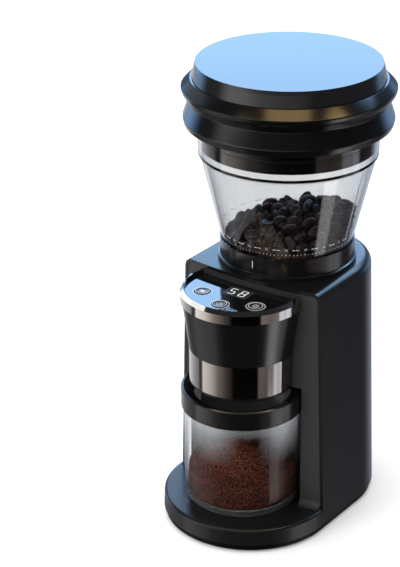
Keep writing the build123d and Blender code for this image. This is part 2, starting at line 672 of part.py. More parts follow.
def gear_plan(teeth, first_angle):
    """Spur gear outline with involute flanks; a tooth points along first_angle."""
    pitch_r = MODULE * teeth / 2
    base_r = pitch_r * cos(radians(20))
    root_r = pitch_r - 1.25 * MODULE
    tip_r = pitch_r + 0.8 * MODULE
    half_tooth = (pi * MODULE / 2 - BACKLASH) / (2 * pitch_r)

    def spread(radius):
        """Angle that the involute has unrolled at a radius."""
        if radius <= base_r:
            return 0.0
        turn = sqrt((radius / base_r) ** 2 - 1)
        return turn - atan2(turn, 1)

    flank = [(r, half_tooth + spread(pitch_r) - spread(r))
             for r in (root_r, max(base_r, root_r + 0.1), (pitch_r + tip_r) / 2 - 0.3, tip_r)]
    points = []
    for i in range(teeth):
        middle = radians(first_angle) + 2 * pi * i / teeth
        side = [(r, middle - a) for r, a in flank] + [(r, middle + a) for r, a in reversed(flank)]
        points += [(r * cos(a), r * sin(a)) for r, a in side]
    return make_face(Polyline(*points, close=True))


def gear(teeth, first_angle, bore_r, low, thickness, x, y):
    plan = gear_plan(teeth, first_angle) - Circle(bore_r)
    return Pos(x, y, low) * extrude(plan, thickness)


IDLER_TO_MOTOR = degrees(atan2(MOTOR_Y - IDLER_Y, -IDLER_X))


def output_gear():
    return gear(OUTPUT_TEETH, IDLER_ANGLE, SHAFT_R + SEAT, SMALL_GEAR_Z, SMALL_GEAR_T, 0, HOPPER_Y)


def idler_gear():
    """Large wheel driven by the motor, with the small wheel that drives the burr shaft."""
    bore = IDLER_PIN_R + RUN_FIT
    gap_angle = IDLER_ANGLE + 180 + 180 / IDLER_SMALL_TEETH
    large = gear(IDLER_LARGE_TEETH, IDLER_TO_MOTOR, bore, LARGE_GEAR_Z, LARGE_GEAR_T, IDLER_X, IDLER_Y)
    small_t = GEAR_END_GAP + SMALL_GEAR_T
    small = gear(IDLER_SMALL_TEETH, gap_angle, bore, LARGE_GEAR_Z + LARGE_GEAR_T, small_t, IDLER_X, IDLER_Y)
    return large + small


def motor_pinion():
    gap_angle = IDLER_TO_MOTOR + 180 + 180 / PINION_TEETH
    return gear(PINION_TEETH, gap_angle, MOTOR_SHAFT_R + SEAT, LARGE_GEAR_Z, LARGE_GEAR_T, 0, MOTOR_Y)


def idler_pin():
    return disc(IDLER_PIN_R, MOTOR_TOP_Z + SEAT, GEAR_CEILING_Z + COVER_T / 2 - SEAT, IDLER_X, IDLER_Y)


def shaft_bearing():
    """Bearing race pair, drawn as one ring with a shallow groove between the races."""
    groove = 0.6
    top_z = BEARING_Z + BEARING_H
    middle = (SHAFT_R + BEARING_R) / 2
    return turned([
        (SHAFT_R + RUN_FIT, BEARING_Z), (middle - groove, BEARING_Z), (middle, BEARING_Z + groove),
        (middle + groove, BEARING_Z), (BEARING_R, BEARING_Z), (BEARING_R, top_z), (middle + groove, top_z),
        (middle, top_z - groove), (middle - groove, top_z), (SHAFT_R + RUN_FIT, top_z),
    ], HOPPER_Y)


def shaft_bushing():
    sleeve = disc(BUSHING_R, MOTOR_TOP_Z, GEAR_FLOOR_Z, y=HOPPER_Y)
    return sleeve - disc(SHAFT_R + RUN_FIT, MOTOR_TOP_Z, GEAR_FLOOR_Z, y=HOPPER_Y)


def motor_can():
    """Drawn can with both end plates."""
    can = disc(MOTOR_R, MOTOR_Z, MOTOR_TOP_Z, y=MOTOR_Y)
    can -= disc(MOTOR_R - MOTOR_WALL, MOTOR_Z + MOTOR_WALL, MOTOR_TOP_Z - MOTOR_WALL, y=MOTOR_Y)
    can -= disc(MOTOR_SHAFT_R + RUN_FIT, MOTOR_Z, MOTOR_TOP_Z, y=MOTOR_Y)
    for x, y in MOTOR_SCREWS:
        can -= screw_hole(x, y, MOTOR_TOP_Z - MOTOR_WALL, MOTOR_TOP_Z)
    return can


def motor_magnets():
    """Two curved magnets against the can's inside."""
    low = MOTOR_Z + (MOTOR_H - ROTOR_H) / 2
    outer = MOTOR_R - MOTOR_WALL
    ring = disc(outer, low, low + ROTOR_H) - disc(outer - MAGNET_T, low, low + ROTOR_H)
    gap = block(2 * outer * cos(radians(MAGNET_ARC / 2)), 3 * outer, low, low + ROTOR_H)
    return Compound([Pos(0, MOTOR_Y, 0) * piece for piece in (ring - gap).solids()])


def motor_rotor():
    """Rotor core and commutator on the motor shaft."""
    low = MOTOR_Z + (MOTOR_H - ROTOR_H) / 2
    core = disc(ROTOR_R, low, low + ROTOR_H, y=MOTOR_Y)
    for x, y in ring_places(ROTOR_R, 8, 0.0, MOTOR_Y):
        core -= disc(MOTOR_SHAFT_R, low, low + ROTOR_H, x, y)
    commutator_top = MOTOR_TOP_Z - 2 * MOTOR_WALL
    core += disc(COMMUTATOR_R, low + ROTOR_H, commutator_top, y=MOTOR_Y)
    return core + disc(MOTOR_SHAFT_R, MOTOR_Z - MOTOR_WALL, LARGE_GEAR_Z + LARGE_GEAR_T, y=MOTOR_Y)


def adjust_ring():
    """Ring that the hopper turns; its slots take the hopper's lugs and the carrier's keys."""
    ring = disc(ADJUST_R, ADJUST_Z, ADJUST_TOP_Z) - disc(ADJUST_BORE_R, ADJUST_Z, ADJUST_TOP_Z)
    slot_low = ADJUST_TOP_Z - ADJUST_H / 2
    for i in range(LUG_COUNT):
        turn = Rot(0, 0, 360 * i / LUG_COUNT)
        ring -= turn * block(LUG_D + 2 * TURN_GAP, LUG_W + 2 * TURN_GAP, slot_low, ADJUST_TOP_Z, LUG_RADIUS)
        ring -= turn * block(2 * KEYWAY_W, KEYWAY_W, ADJUST_Z, ADJUST_TOP_Z, -ADJUST_BORE_R + KEYWAY_W / 2)
    return Pos(0, HOPPER_Y, 0) * ring


def burr_carrier():
    """Sleeve that holds the ring burr and moves up and down as the hopper is turned."""
    ledge_z = RING_BURR_TOP_Z
    bore = RING_BURR_R + SEAT
    sleeve = turned([
        (bore, CARRIER_Z), (CARRIER_R, CARRIER_Z), (CARRIER_R, CARRIER_TOP_Z), (CARRIER_BORE_R, CARRIER_TOP_Z),
        (CARRIER_BORE_R, ledge_z + CARRIER_LEDGE_T), (RING_BURR_TOP_R, ledge_z + CARRIER_LEDGE_T),
        (RING_BURR_TOP_R, ledge_z), (bore, ledge_z),
    ])
    key_w = KEYWAY_W - 2 * TURN_GAP
    key_low = CEILING_Z + CARRIER_TRAVEL + SLIDE_GAP
    for i in range(LUG_COUNT):
        key = block(KEYWAY_W, key_w, key_low, CARRIER_TOP_Z, -CARRIER_R)
        sleeve += Rot(0, 0, 360 * i / LUG_COUNT) * (key - disc(CARRIER_BORE_R, key_low, CARRIER_TOP_Z))
    return Pos(0, HOPPER_Y, 0) * sleeve


def ring_burr():
    """Outer burr: a coned bore with slanted cutting grooves."""
    ring = turned([
        (RING_BURR_LOW_R, RING_BURR_Z), (RING_BURR_R, RING_BURR_Z), (RING_BURR_R, RING_BURR_TOP_Z),
        (RING_BURR_TOP_R, RING_BURR_TOP_Z), (RING_BURR_LOW_R, RING_BURR_Z + CONE_LAND),
    ])
    groove = Box(GROOVE_D, GROOVE_W, RING_BURR_H + 2 * CONE_LAND)
    middle_z = (RING_BURR_Z + RING_BURR_TOP_Z) / 2
    for i in range(RING_BURR_TEETH):
        place = Rot(0, 0, 360 * i / RING_BURR_TEETH) * Pos(RING_BURR_LOW_R + GROOVE_OUT, 0, middle_z)
        ring -= place * Rot(20, 10, 0) * groove
    return Pos(0, HOPPER_Y, 0) * ring


def cone_burr():
    """Inner burr: a cone with slanted flutes over a plain land."""
    top_z = CONE_Z + CONE_H
    bore = SHAFT_R + SEAT
    cone = turned([
        (bore, CONE_Z), (CONE_R, CONE_Z), (CONE_R, CONE_Z + CONE_LAND), (CONE_TOP_R, top_z), (bore, top_z),
    ])
    lean = degrees(atan2(CONE_R - CONE_TOP_R, CONE_H - CONE_LAND))
    middle_z = CONE_Z + 0.62 * CONE_H
    middle_r = (CONE_R + CONE_TOP_R) / 2 + FLUTE_OUT
    flute = Box(FLUTE_D, FLUTE_W, 1.6 * CONE_H)
    for i in range(CONE_TEETH):
        place = Rot(0, 0, 360 * i / CONE_TEETH) * Pos(middle_r, 0, middle_z)
        cone -= place * Rot(25, -lean, 0) * flute
    return Pos(0, HOPPER_Y, 0) * cone


def burr_nut():
    nut = extrude(RegularPolygon(NUT_R, 6) - Circle(SHAFT_R + SEAT), NUT_H)
    return Pos(0, HOPPER_Y, NUT_Z) * nut


def burr_shaft():
    return disc(SHAFT_R, MOTOR_TOP_Z + SEAT, NUT_Z + NUT_H, y=HOPPER_Y)


def grounds_sweeper():
    """Disc with paddles that carries the grounds round to the outlet."""
    sweeper = disc(SWEEPER_R, SWEEPER_Z, SWEEPER_Z + SWEEPER_T) + disc(SWEEPER_HUB_R, SWEEPER_Z, CONE_Z)
    paddle_top = CARRIER_Z - 2 * NUT_H / 3
    for x, y in ring_places(SWEEPER_R - PADDLE_LENGTH / 2 - TURN_GAP, PADDLE_COUNT):
        turn = degrees(atan2(y, x))
        sweeper += Pos(x, y, 0) * Rot(0, 0, turn) * block(PADDLE_LENGTH, PADDLE_T, SWEEPER_Z, paddle_top)
    sweeper -= disc(SHAFT_R + SEAT, SWEEPER_Z, CONE_Z)
    return Pos(0, HOPPER_Y, 0) * sweeper


def grounds_chute():
    """Duct from the burr housing into the pod, then down through the pod's floor."""
    front_y = SPOUT_Y - SPOUT_DEPTH / 2
    rear_y = HOPPER_Y - CHAMBER_R
    length = rear_y - front_y
    top_z = OUTLET_Z + OUTLET_H
    duct = block(OUTLET_W + 2 * CHUTE_WALL, length + CHUTE_WALL, OUTLET_Z - CHUTE_WALL, top_z + CHUTE_WALL,
                 y=(rear_y + front_y - CHUTE_WALL) / 2)
    spout = block(OUTLET_W + 2 * CHUTE_WALL, SPOUT_DEPTH + 2 * CHUTE_WALL, BAND_Z + SEAT, top_z, y=SPOUT_Y)
    passage = block(OUTLET_W, length, OUTLET_Z, top_z, y=(rear_y + front_y) / 2)
    drop = block(OUTLET_W, SPOUT_DEPTH, BAND_Z, top_z, y=SPOUT_Y)
    chute = duct + spout - passage - drop
    return chute - disc(CHAMBER_OUT_R + SEAT, 0, SKY_Z, y=HOPPER_Y)


def before_face(solid, gap=SEAT):
    """The part of a pod piece that stands in front of the panel."""
    return solid - behind_face(gap - PANEL_RECESS)


def pod_shell():
    """Tapered skin of the pod with the neck that the band sits on."""
    neck_r = BAND_R - BAND_T - SEAT
    shell = turned([
        (neck_r - POD_WALL, BAND_Z + SEAT), (neck_r, BAND_Z + SEAT), (neck_r, TAPER_Z), (BAND_R, TAPER_Z),
        (POD_TOP_R, TRIM_Z), (POD_TOP_R - POD_WALL, TRIM_Z), (BAND_R - POD_WALL, TAPER_Z),
        (neck_r - POD_WALL, TAPER_Z - POD_WALL),
    ], JAR_Y)
    inner = turned([(0, BAND_Z), (BAND_R, BAND_Z), (BAND_R, TAPER_Z), (POD_TOP_R - SEAT, TRIM_Z), (0, TRIM_Z)], JAR_Y)
    for side in (-1, 1):
        x = side * POD_SCREW_X
        boss = rod(BOSS_R, face_y(x) - 3 * BOSS_R, face_y(x) + PANEL_T, x, POD_SCREW_Z)
        shell += boss & inner
        shell -= rod(SCREW_R + SCREW_CLEAR, face_y(x) - 2.4 * BOSS_R, face_y(x) + PANEL_T, x, POD_SCREW_Z)
    return before_face(shell)


def pod_screws():
    """Screws through the panel from inside the tower."""
    screws = []
    for side in (-1, 1):
        x = side * POD_SCREW_X
        seat_y = face_y(abs(x) + SCREW_HEAD_R, -PANEL_RECESS - PANEL_T)
        shank = rod(SCREW_R, face_y(x) - 2.2 * BOSS_R, seat_y, x, POD_SCREW_Z)
        screws.append(shank + rod(SCREW_HEAD_R, seat_y, seat_y + SCREW_HEAD_H, x, POD_SCREW_Z))
    return Compound(screws)


def pod_floor():
    """Plate under the pod with the hole that the grounds fall through."""
    plate = turned([
        (0, POD_Z), (BAND_R - POD_BEVEL, POD_Z), (BAND_R, POD_Z + POD_BEVEL), (BAND_R, BAND_Z), (0, BAND_Z),
    ], JAR_Y)
    plate -= block(OUTLET_W, SPOUT_DEPTH, POD_Z, BAND_Z, y=SPOUT_Y)
    return before_face(plate)


def steel_band():
    low = BAND_Z + SEAT
    band = disc(BAND_R, low, TAPER_Z - SEAT, y=JAR_Y) - disc(BAND_R - BAND_T, low, TAPER_Z - SEAT, y=JAR_Y)
    return before_face(band)


def trim_ring():
    """Bright ring round the control panel, with the ledge that the panel lies on."""
    ledge_z = GLASS_Z - GLASS_T
    ring = turned([
        (TRIM_LIP_R - TRIM_LEDGE, ledge_z - SEAT), (TRIM_LIP_R - TRIM_LEDGE, ledge_z - TRIM_LEDGE_T),
        (POD_TOP_R - POD_WALL, TRIM_Z), (TRIM_R, TRIM_Z), (TRIM_R, TRIM_Z + TRIM_FACE_H),
        (TRIM_LIP_R + TRIM_RIM_FLAT, TRIM_TOP_Z), (TRIM_LIP_R, TRIM_TOP_Z - TRIM_RIM_EDGE),
        (TRIM_LIP_R, ledge_z - SEAT),
    ], JAR_Y)
    return before_face(ring)


def key_places():
    """Key name, x and y."""
    for name, angle in KEY_ANGLES.items():
        yield name, KEY_RING * cos(radians(angle)), JAR_Y + KEY_RING * sin(radians(angle))


def control_panel():
    """Gloss plate with the key holes, the display pocket and posts for the board."""
    low = GLASS_Z - GLASS_T
    plate = disc(TRIM_LIP_R - SEAT, low, GLASS_Z, y=JAR_Y)
    for _, x, y in key_places():
        plate -= disc(KEY_R + KEY_GAP, low, GLASS_Z, x, y)
    window_y = JAR_Y + DISPLAY_Y
    plate -= block(DISPLAY_W, DISPLAY_D, GLASS_Z - LENS_T, GLASS_Z, y=window_y)
    plate -= block(DISPLAY_W - 2 * LENS_LEDGE, DISPLAY_D - 2 * LENS_LEDGE, low, GLASS_Z, y=window_y)
    for x, y in BOARD_POSTS:
        plate += disc(POST_R, BOARD_Z, low, x, y)
        plate -= disc(SCREW_R / 2 + SCREW_CLEAR, BOARD_Z, low, x, y)
    return before_face(plate, 2 * SEAT)


def display_lens():
    return block(DISPLAY_W - SEAT, DISPLAY_D - SEAT, GLASS_Z - LENS_T, GLASS_Z, y=JAR_Y + DISPLAY_Y)


def display_module():
    top_z = GLASS_Z - LENS_T - SEAT
    inset = LENS_LEDGE + TURN_GAP
    return block(DISPLAY_W - 2 * inset, DISPLAY_D - 2 * inset, BOARD_Z, top_z, y=JAR_Y + DISPLAY_Y)


def control_board():
    low = BOARD_Z - BOARD_T
    board = disc(TRIM_LIP_R - TRIM_LEDGE - BOARD_EDGE_GAP, low, BOARD_Z, y=JAR_Y)
    for x, y in BOARD_POSTS:
        board -= disc(SCREW_R / 2 + SCREW_CLEAR, low, BOARD_Z, x, y)
    return before_face(board, PANEL_T)


def board_screws():
    """Small screws from below the board into the panel's posts."""
    low = BOARD_Z - BOARD_T
    small_r = SCREW_R / 2
    return Compound([
        disc(small_r, low, BOARD_Z + BOARD_DROP / 2, x, y) + disc(POST_R - SEAT, low - BOARD_T, low, x, y)
        for x, y in BOARD_POSTS
    ])


def tact_switches():
    """One switch under each key."""
    return Compound([
        block(SWITCH_SIDE, SWITCH_SIDE, BOARD_Z, BOARD_Z + SWITCH_H, x, y)
        + disc(KEY_STEM_R, BOARD_Z + SWITCH_H, BOARD_Z + SWITCH_H + SWITCH_BUTTON_H, x, y)
        for _, x, y in key_places()
    ])


def key(x, y):
    """Dished round key with a flange that keeps it under the panel."""
    top_z = GLASS_Z + KEY_PROUD
    flange_top = GLASS_Z - GLASS_T - SLIDE_GAP
    stem_low = BOARD_Z + SWITCH_H + SWITCH_BUTTON_H + KEY_TRAVEL + SLIDE_GAP
    rim_r = KEY_R - KEY_EDGE - KEY_RIM
    cap = turned([
        (0, stem_low), (KEY_STEM_R, stem_low), (KEY_STEM_R, flange_top - KEY_FLANGE_T),
        (KEY_FLANGE_R, flange_top - KEY_FLANGE_T), (KEY_FLANGE_R, flange_top), (KEY_R, flange_top),
        (KEY_R, top_z - KEY_EDGE), (KEY_R - KEY_EDGE, top_z), (rim_r, top_z), (rim_r - KEY_EDGE, top_z - KEY_EDGE),
        (0, top_z - KEY_DISH),
    ])
    return Pos(x, y, 0) * cap


def power_board():
    """Supply board on the base plate, with a transformer and a capacitor."""
    low = HOUSING_Z + POWER_BOARD_H
    top = low + BOARD_T
    board = block(POWER_BOARD_W, POWER_BOARD_D, low, top, y=POWER_BOARD_Y)
    board += block(POWER_BOARD_W / 3, POWER_BOARD_D / 2, top, top + POWER_BOARD_H, -POWER_BOARD_W / 4, POWER_BOARD_Y)
    return board + disc(POWER_BOARD_D / 7, top, top + POWER_BOARD_H, POWER_BOARD_W / 4, POWER_BOARD_Y)


def cord_gland():
    """Round inlet in the back of the housing, without its cord."""
    wall_y = REAR_Y + half_width(GLAND_H)
    flange = rod(GLAND_FLANGE_R, wall_y - WALL, wall_y + GLAND_FLANGE_T, 0, GLAND_H)
    flange -= tapered(-SEAT, HOUSING_Z, TOWER_Z)
    gland = flange + rod(GLAND_R, wall_y - 2 * WALL, wall_y + GLAND_FLANGE_T / 2, 0, GLAND_H)
    return gland - rod(GLAND_BORE_R, wall_y - 3 * WALL, wall_y + 2 * GLAND_FLANGE_T, 0, GLAND_H)


def hopper():
    """Clear cup: foot, cone and stepped rim, with a funnel floor and a throat."""
    inner_foot = HOPPER_FOOT_R - HOPPER_WALL
    funnel_z = HOPPER_CONE_Z - HOPPER_WALL
    floor_z = funnel_z - FUNNEL_DROP
    cup = turned([
        (inner_foot, HOPPER_Z), (HOPPER_FOOT_R, HOPPER_Z), (HOPPER_FOOT_R, HOPPER_CONE_Z),
        (HOPPER_STEP_R, HOPPER_STEP_Z), (HOPPER_RIM_R, HOPPER_STEP_Z + HOPPER_STEP_H),
        (HOPPER_RIM_R, HOPPER_TOP_Z), (HOPPER_INNER_R, HOPPER_TOP_Z),
        (HOPPER_INNER_R, HOPPER_STEP_Z + 2 * HOPPER_STEP_H), (HOPPER_STEP_R - HOPPER_WALL, HOPPER_STEP_Z),
        (inner_foot, HOPPER_CONE_Z), (inner_foot, funnel_z), (THROAT_R, floor_z), (THROAT_R, THROAT_Z),
        (THROAT_OUT_R, THROAT_Z), (THROAT_OUT_R, floor_z - HOPPER_WALL / 2),
        (inner_foot - SEAT, funnel_z - HOPPER_WALL), (inner_foot, funnel_z - HOPPER_WALL),
    ])
    lug_low = ADJUST_TOP_Z - ADJUST_H / 2 + SLIDE_GAP
    for i in range(LUG_COUNT):
        cup += Rot(0, 0, 360 * i / LUG_COUNT) * block(LUG_D, LUG_W, lug_low, floor_z + LUG_ROOT, LUG_RADIUS)
    return Pos(0, HOPPER_Y, 0) * cup


def lid_ring():
    """Plug of the lid, with the flange that lies on the hopper's rim and a groove for the seal."""
    plug_z = HOPPER_TOP_Z - PLUG_DEPTH
    groove_z = HOPPER_TOP_Z - PLUG_DEPTH / 2
    bore = PLUG_R - PLUG_WALL
    return turned([
        (bore, plug_z), (PLUG_R, plug_z), (PLUG_R, groove_z - SEAL_R), (PLUG_R - SEAL_R, groove_z - SEAL_R),
        (PLUG_R - SEAL_R, groove_z + SEAL_R), (PLUG_R, groove_z + SEAL_R), (PLUG_R, LID_FLANGE_Z),
        (LID_FLANGE_R, LID_FLANGE_Z), (LID_FLANGE_R, LID_FLANGE_TOP_Z), (bore, LID_FLANGE_TOP_Z),
    ], HOPPER_Y)


def lid_seal():
    """Ring in the plug's groove."""
    groove_z = HOPPER_TOP_Z - PLUG_DEPTH / 2
    half = SEAL_R - SEAT
    inner = PLUG_R - SEAL_R
    outer = PLUG_R + PLUG_CLEAR - TURN_GAP
    return turned([
        (inner, groove_z - half), (outer - half, groove_z - half), (outer, groove_z), (outer - half, groove_z + half),
        (inner, groove_z + half),
    ], HOPPER_Y)


def bellows():
    """Two soft folds that grip the lid's flange and carry its cap."""
    folds = [
        (LID_FLANGE_R + LOWER_LIP_OUT, LOWER_LIP_Z), (LID_FLANGE_R + WAIST_OUT, WAIST_Z),
        (LID_FLANGE_R + UPPER_UNDER_OUT, UPPER_UNDER_Z), (LID_FLANGE_R + UPPER_LIP_OUT, UPPER_LIP_Z),
        (CAP_SKIRT_R - SEAT, BELLOWS_TOP_Z),
    ]
    inner = [(r - BELLOWS_WALL, z) for r, z in reversed(folds)]
    grip_r = LID_FLANGE_R + SEAT - BELLOWS_GRIP
    grip_z = LID_FLANGE_TOP_Z + SEAT
    grip = [
        (grip_r, LOWER_LIP_Z), (grip_r, grip_z), (LID_FLANGE_R + SEAT, grip_z), (LID_FLANGE_R + SEAT, BELLOWS_Z),
        (LID_FLANGE_R + LOWER_UNDER_OUT, BELLOWS_Z),
    ]
    rounds = [(4, LIP_EDGE_ROUND), (5, LIP_ROUND), (6, LIP_EDGE_ROUND), (7, LIP_EDGE_ROUND), (8, LIP_EDGE_ROUND)]
    return turned(grip + folds + inner, HOPPER_Y, rounds)


def lid_cap():
    """Flat top of the lid that is pressed down to blow out the last grounds."""
    top_z = CAP_Z + CAP_H
    shoulder_r = CAP_SKIRT_R - CAP_LEAN
    return turned([
        (0, top_z), (shoulder_r - CAP_EDGE, top_z), (shoulder_r, top_z - CAP_BEVEL), (CAP_SKIRT_R, CAP_Z),
        (CAP_SKIRT_R - CAP_WALL, CAP_Z), (shoulder_r - CAP_WALL, top_z - CAP_BEVEL), (0, top_z - CAP_BEVEL),
    ], HOPPER_Y)


def jar_glass():
    """Clear jar with a rounded foot and a neck for its ring."""
    neck_r = JAR_R - JAR_NECK_STEP
    inner = JAR_R - JAR_WALL
    neck_inner = neck_r - JAR_WALL
    return turned([
        (0, JAR_Z), (JAR_R, JAR_Z), (JAR_R, NECK_Z), (neck_r, NECK_Z), (neck_r, JAR_TOP_Z), (neck_inner, JAR_TOP_Z),
        (neck_inner, NECK_Z), (inner, NECK_Z - JAR_WALL), (inner, JAR_Z + JAR_FLOOR), (0, JAR_Z + JAR_FLOOR),
    ], JAR_Y, [(1, JAR_CORNER_R), (8, JAR_CORNER_R - JAR_WALL)])


def jar_ring():
    """Black ring over the jar's neck, with a funnelled mouth."""
    bore = JAR_R - JAR_NECK_STEP + TURN_GAP
    seat_z = JAR_TOP_Z + SLIDE_GAP
    top_z = JAR_RING_TOP_Z
    mouth_z = top_z - JAR_FUNNEL_DROP
    edge = JAR_RING_EDGE
    return turned([
        (bore, JAR_RING_Z), (JAR_RING_R, JAR_RING_Z), (JAR_RING_R, top_z - edge), (JAR_RING_R - edge, top_z),
        (JAR_RING_R - JAR_RING_LIP, top_z), (JAR_MOUTH_R, mouth_z), (JAR_MOUTH_R, min(seat_z, mouth_z - edge)),
        (bore, min(seat_z, mouth_z - edge)),
    ], JAR_Y)


def main():
    pieces = {maker.__name__: maker() for maker in (
        main_housing, front_panel, base_plate, rubber_feet, base_screws, hopper_collar, collar_screws,
        burr_housing, gearbox_cover, gearbox_base, gearbox_screws, shaft_bearing, shaft_bushing, idler_pin,
        motor_can, motor_magnets, motor_screws, grounds_chute, pod_shell, pod_screws, pod_floor, steel_band,
        trim_ring, control_panel, display_lens, display_module, control_board, board_screws, tact_switches,
        power_board, cord_gland, adjust_ring, burr_carrier, ring_burr, cone_burr, burr_nut, burr_shaft,
        grounds_sweeper, output_gear, idler_gear, motor_pinion, motor_rotor, hopper, lid_ring, lid_seal, bellows,
        lid_cap, jar_glass, jar_ring,
    )}
    for name, x, y in key_places():
        pieces[f"key_{name}"] = key(x, y)
    os.makedirs("parts", exist_ok=True)
    for name, shape in pieces.items():
        export_step(shape, f"parts/{name}.step")


if __name__ == "__main__":
    main()
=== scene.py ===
"""Looks of the burr coffee grinder: finishes, bellows, beans, grounds, printed marks, studio and camera."""

import json
import math
import random

import bpy
import numpy as np
from mathutils import Matrix, Vector


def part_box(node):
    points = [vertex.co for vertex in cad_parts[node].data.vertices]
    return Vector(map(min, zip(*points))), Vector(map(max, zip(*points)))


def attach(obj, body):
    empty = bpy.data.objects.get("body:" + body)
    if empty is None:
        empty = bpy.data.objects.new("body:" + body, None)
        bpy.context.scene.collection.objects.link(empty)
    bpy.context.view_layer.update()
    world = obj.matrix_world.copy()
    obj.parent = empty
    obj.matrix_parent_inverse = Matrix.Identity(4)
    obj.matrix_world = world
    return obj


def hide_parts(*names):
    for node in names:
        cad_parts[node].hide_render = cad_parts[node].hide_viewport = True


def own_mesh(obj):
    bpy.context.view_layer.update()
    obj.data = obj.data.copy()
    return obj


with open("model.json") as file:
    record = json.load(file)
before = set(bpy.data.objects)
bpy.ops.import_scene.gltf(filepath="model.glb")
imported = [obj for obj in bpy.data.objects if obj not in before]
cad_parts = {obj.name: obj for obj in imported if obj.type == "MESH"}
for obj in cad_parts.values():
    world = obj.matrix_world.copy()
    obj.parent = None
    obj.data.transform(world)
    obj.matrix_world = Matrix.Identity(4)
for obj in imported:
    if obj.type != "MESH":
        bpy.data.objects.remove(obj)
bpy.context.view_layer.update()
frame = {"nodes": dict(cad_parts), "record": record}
nodes = frame["nodes"]

MM = 0.001

# Plan and levels, in metres
HOPPER_Y = 17.8 * MM
JAR_Y = -40.7 * MM
COLLAR_R = 49.9 * MM
HOPPER_FOOT_R = 48.4 * MM
HOPPER_STEP_R = 64.2 * MM
HOPPER_WALL = 2.2 * MM
HOPPER_CONE_Z = 210.2 * MM
HOPPER_STEP_Z = 275.4 * MM
THROAT_R = 23.8 * MM
FUNNEL_Z = 202.5 * MM
JAR_INNER_R = 41.0 * MM
JAR_FLOOR_Z = 23.2 * MM

# Camera of the photograph
CAMERA_PLACE = Vector((737.1, -1117.5, 794.2)) * MM
CAMERA_TURN = math.radians(35.742)
CAMERA_RISE = math.radians(24.757)
CAMERA_ROLL = math.radians(-0.4515)
CAMERA_LENS = 179.14
CAMERA_SENSOR = 36.0
CAMERA_SIGHT = 20.0

# Turned pieces: points nearer than this are one, and edges flatter than this are smooth
SAME_POINT = 0.001 * MM
SMOOTH_ANGLE = math.radians(35)


def leave_edit_mode():
    if bpy.context.object and bpy.context.object.mode != "OBJECT":
        bpy.ops.object.mode_set(mode="OBJECT")


def start_fresh():
    """Nothing selected, so an operator touches only what is added next."""
    leave_edit_mode()
    bpy.ops.object.select_all(action="DESELECT")


def select_only(obj):
    start_fresh()
    obj.select_set(True)
    bpy.context.view_layer.objects.active = obj


def settle(obj, name, finish, body):
    """Names a piece, puts its place into its mesh, and lets it ride on a body."""
    select_only(obj)
    bpy.ops.object.transform_apply(location=True, rotation=True, scale=True)
    obj.name = name
    obj.data.name = name
    obj.data.materials.clear()
    obj.data.materials.append(finish)
    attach(obj, body)
    return obj


def join(objs):
    """One object out of several."""
    start_fresh()
    for obj in objs:
        obj.select_set(True)
    bpy.context.view_layer.objects.active = objs[0]
    bpy.ops.object.join()
    return bpy.context.object


def apply_modifier(obj, kind, **settings):
    select_only(obj)
    modifier = obj.modifiers.new(kind.lower(), kind)
    for key, value in settings.items():
        setattr(modifier, key, value)
    bpy.ops.object.modifier_apply(modifier=modifier.name)


def rounded(points, rounds, steps=6):
    """Profile of (radius, height) points with some corners swapped for arcs; rounds is {index: radius}."""
    line = []
    for i, point in enumerate(points):
        if i not in rounds:
            line.append(point)
            continue
        here = Vector(point)
        back = (Vector(points[i - 1]) - here).normalized()
        ahead = (Vector(points[i + 1]) - here).normalized()
        half = back.angle(ahead) / 2
        reach = rounds[i] / math.tan(half)
        centre = here + (back + ahead).normalized() * (rounds[i] / math.sin(half))
        start = here + back * reach - centre
        end = here + ahead * reach - centre
        sweep = start.angle_signed(end)
        for step in range(steps + 1):
            turn = Matrix.Rotation(-sweep * step / steps, 2)
            line.append(tuple(centre + turn @ start))
    return line


def turn_profile(profile, y, segments=160, closed=True):
    """Circle extruded ring after ring along a profile, as on a lathe.

    When closed, the last ring joins the first. If not, the last is drawn in to a point and the first is
    filled.
    """
    start_fresh()
    radius, height = profile[0]
    bpy.ops.mesh.primitive_circle_add(vertices=segments, radius=radius, location=(0, y, height))
    obj = bpy.context.object
    bpy.ops.object.mode_set(mode="EDIT")
    bpy.ops.mesh.select_all(action="SELECT")
    for (r_from, z_from), (r_to, z_to) in zip(profile, profile[1:]):
        bpy.ops.mesh.extrude_region_move(TRANSFORM_OT_translate={"value": (0, 0, z_to - z_from)})
        share = r_to / r_from
        bpy.ops.transform.resize(value=(share, share, 1))
    if closed:
        bpy.ops.mesh.select_all(action="DESELECT")
        bpy.ops.mesh.select_non_manifold()
        bpy.ops.mesh.bridge_edge_loops()
    else:
        bpy.ops.mesh.merge(type="CENTER")
        bpy.ops.mesh.select_all(action="DESELECT")
        bpy.ops.mesh.select_non_manifold()
        bpy.ops.mesh.edge_face_add()
        bpy.ops.mesh.poke()
    bpy.ops.mesh.select_all(action="SELECT")
    bpy.ops.mesh.remove_doubles(threshold=SAME_POINT)
    bpy.ops.mesh.normals_make_consistent(inside=False)
    leave_edit_mode()
    bpy.ops.object.shade_smooth_by_angle(angle=SMOOTH_ANGLE)
    return obj


# Shared effects

def math_node(tree, operation, *values):
    node = tree.nodes.new("ShaderNodeMath")
    node.operation = operation
    for i, value in enumerate(values):
        if isinstance(value, (int, float)):
            node.inputs[i].default_value = value
        else:
            tree.links.new(value, node.inputs[i])
    return node.outputs[0]


def new_group(name, inputs, outputs):
    """Empty node group with float inputs (name, default) and outputs (name, kind)."""
    tree = bpy.data.node_groups.new(name, "ShaderNodeTree")
    for label, default in inputs:
        socket = tree.interface.new_socket(label, in_out="INPUT", socket_type="NodeSocketFloat")
        socket.default_value = default
    for label, kind in outputs:
        tree.interface.new_socket(label, in_out="OUTPUT", socket_type=kind)
    return tree, tree.nodes.new("NodeGroupInput"), tree.nodes.new("NodeGroupOutput")


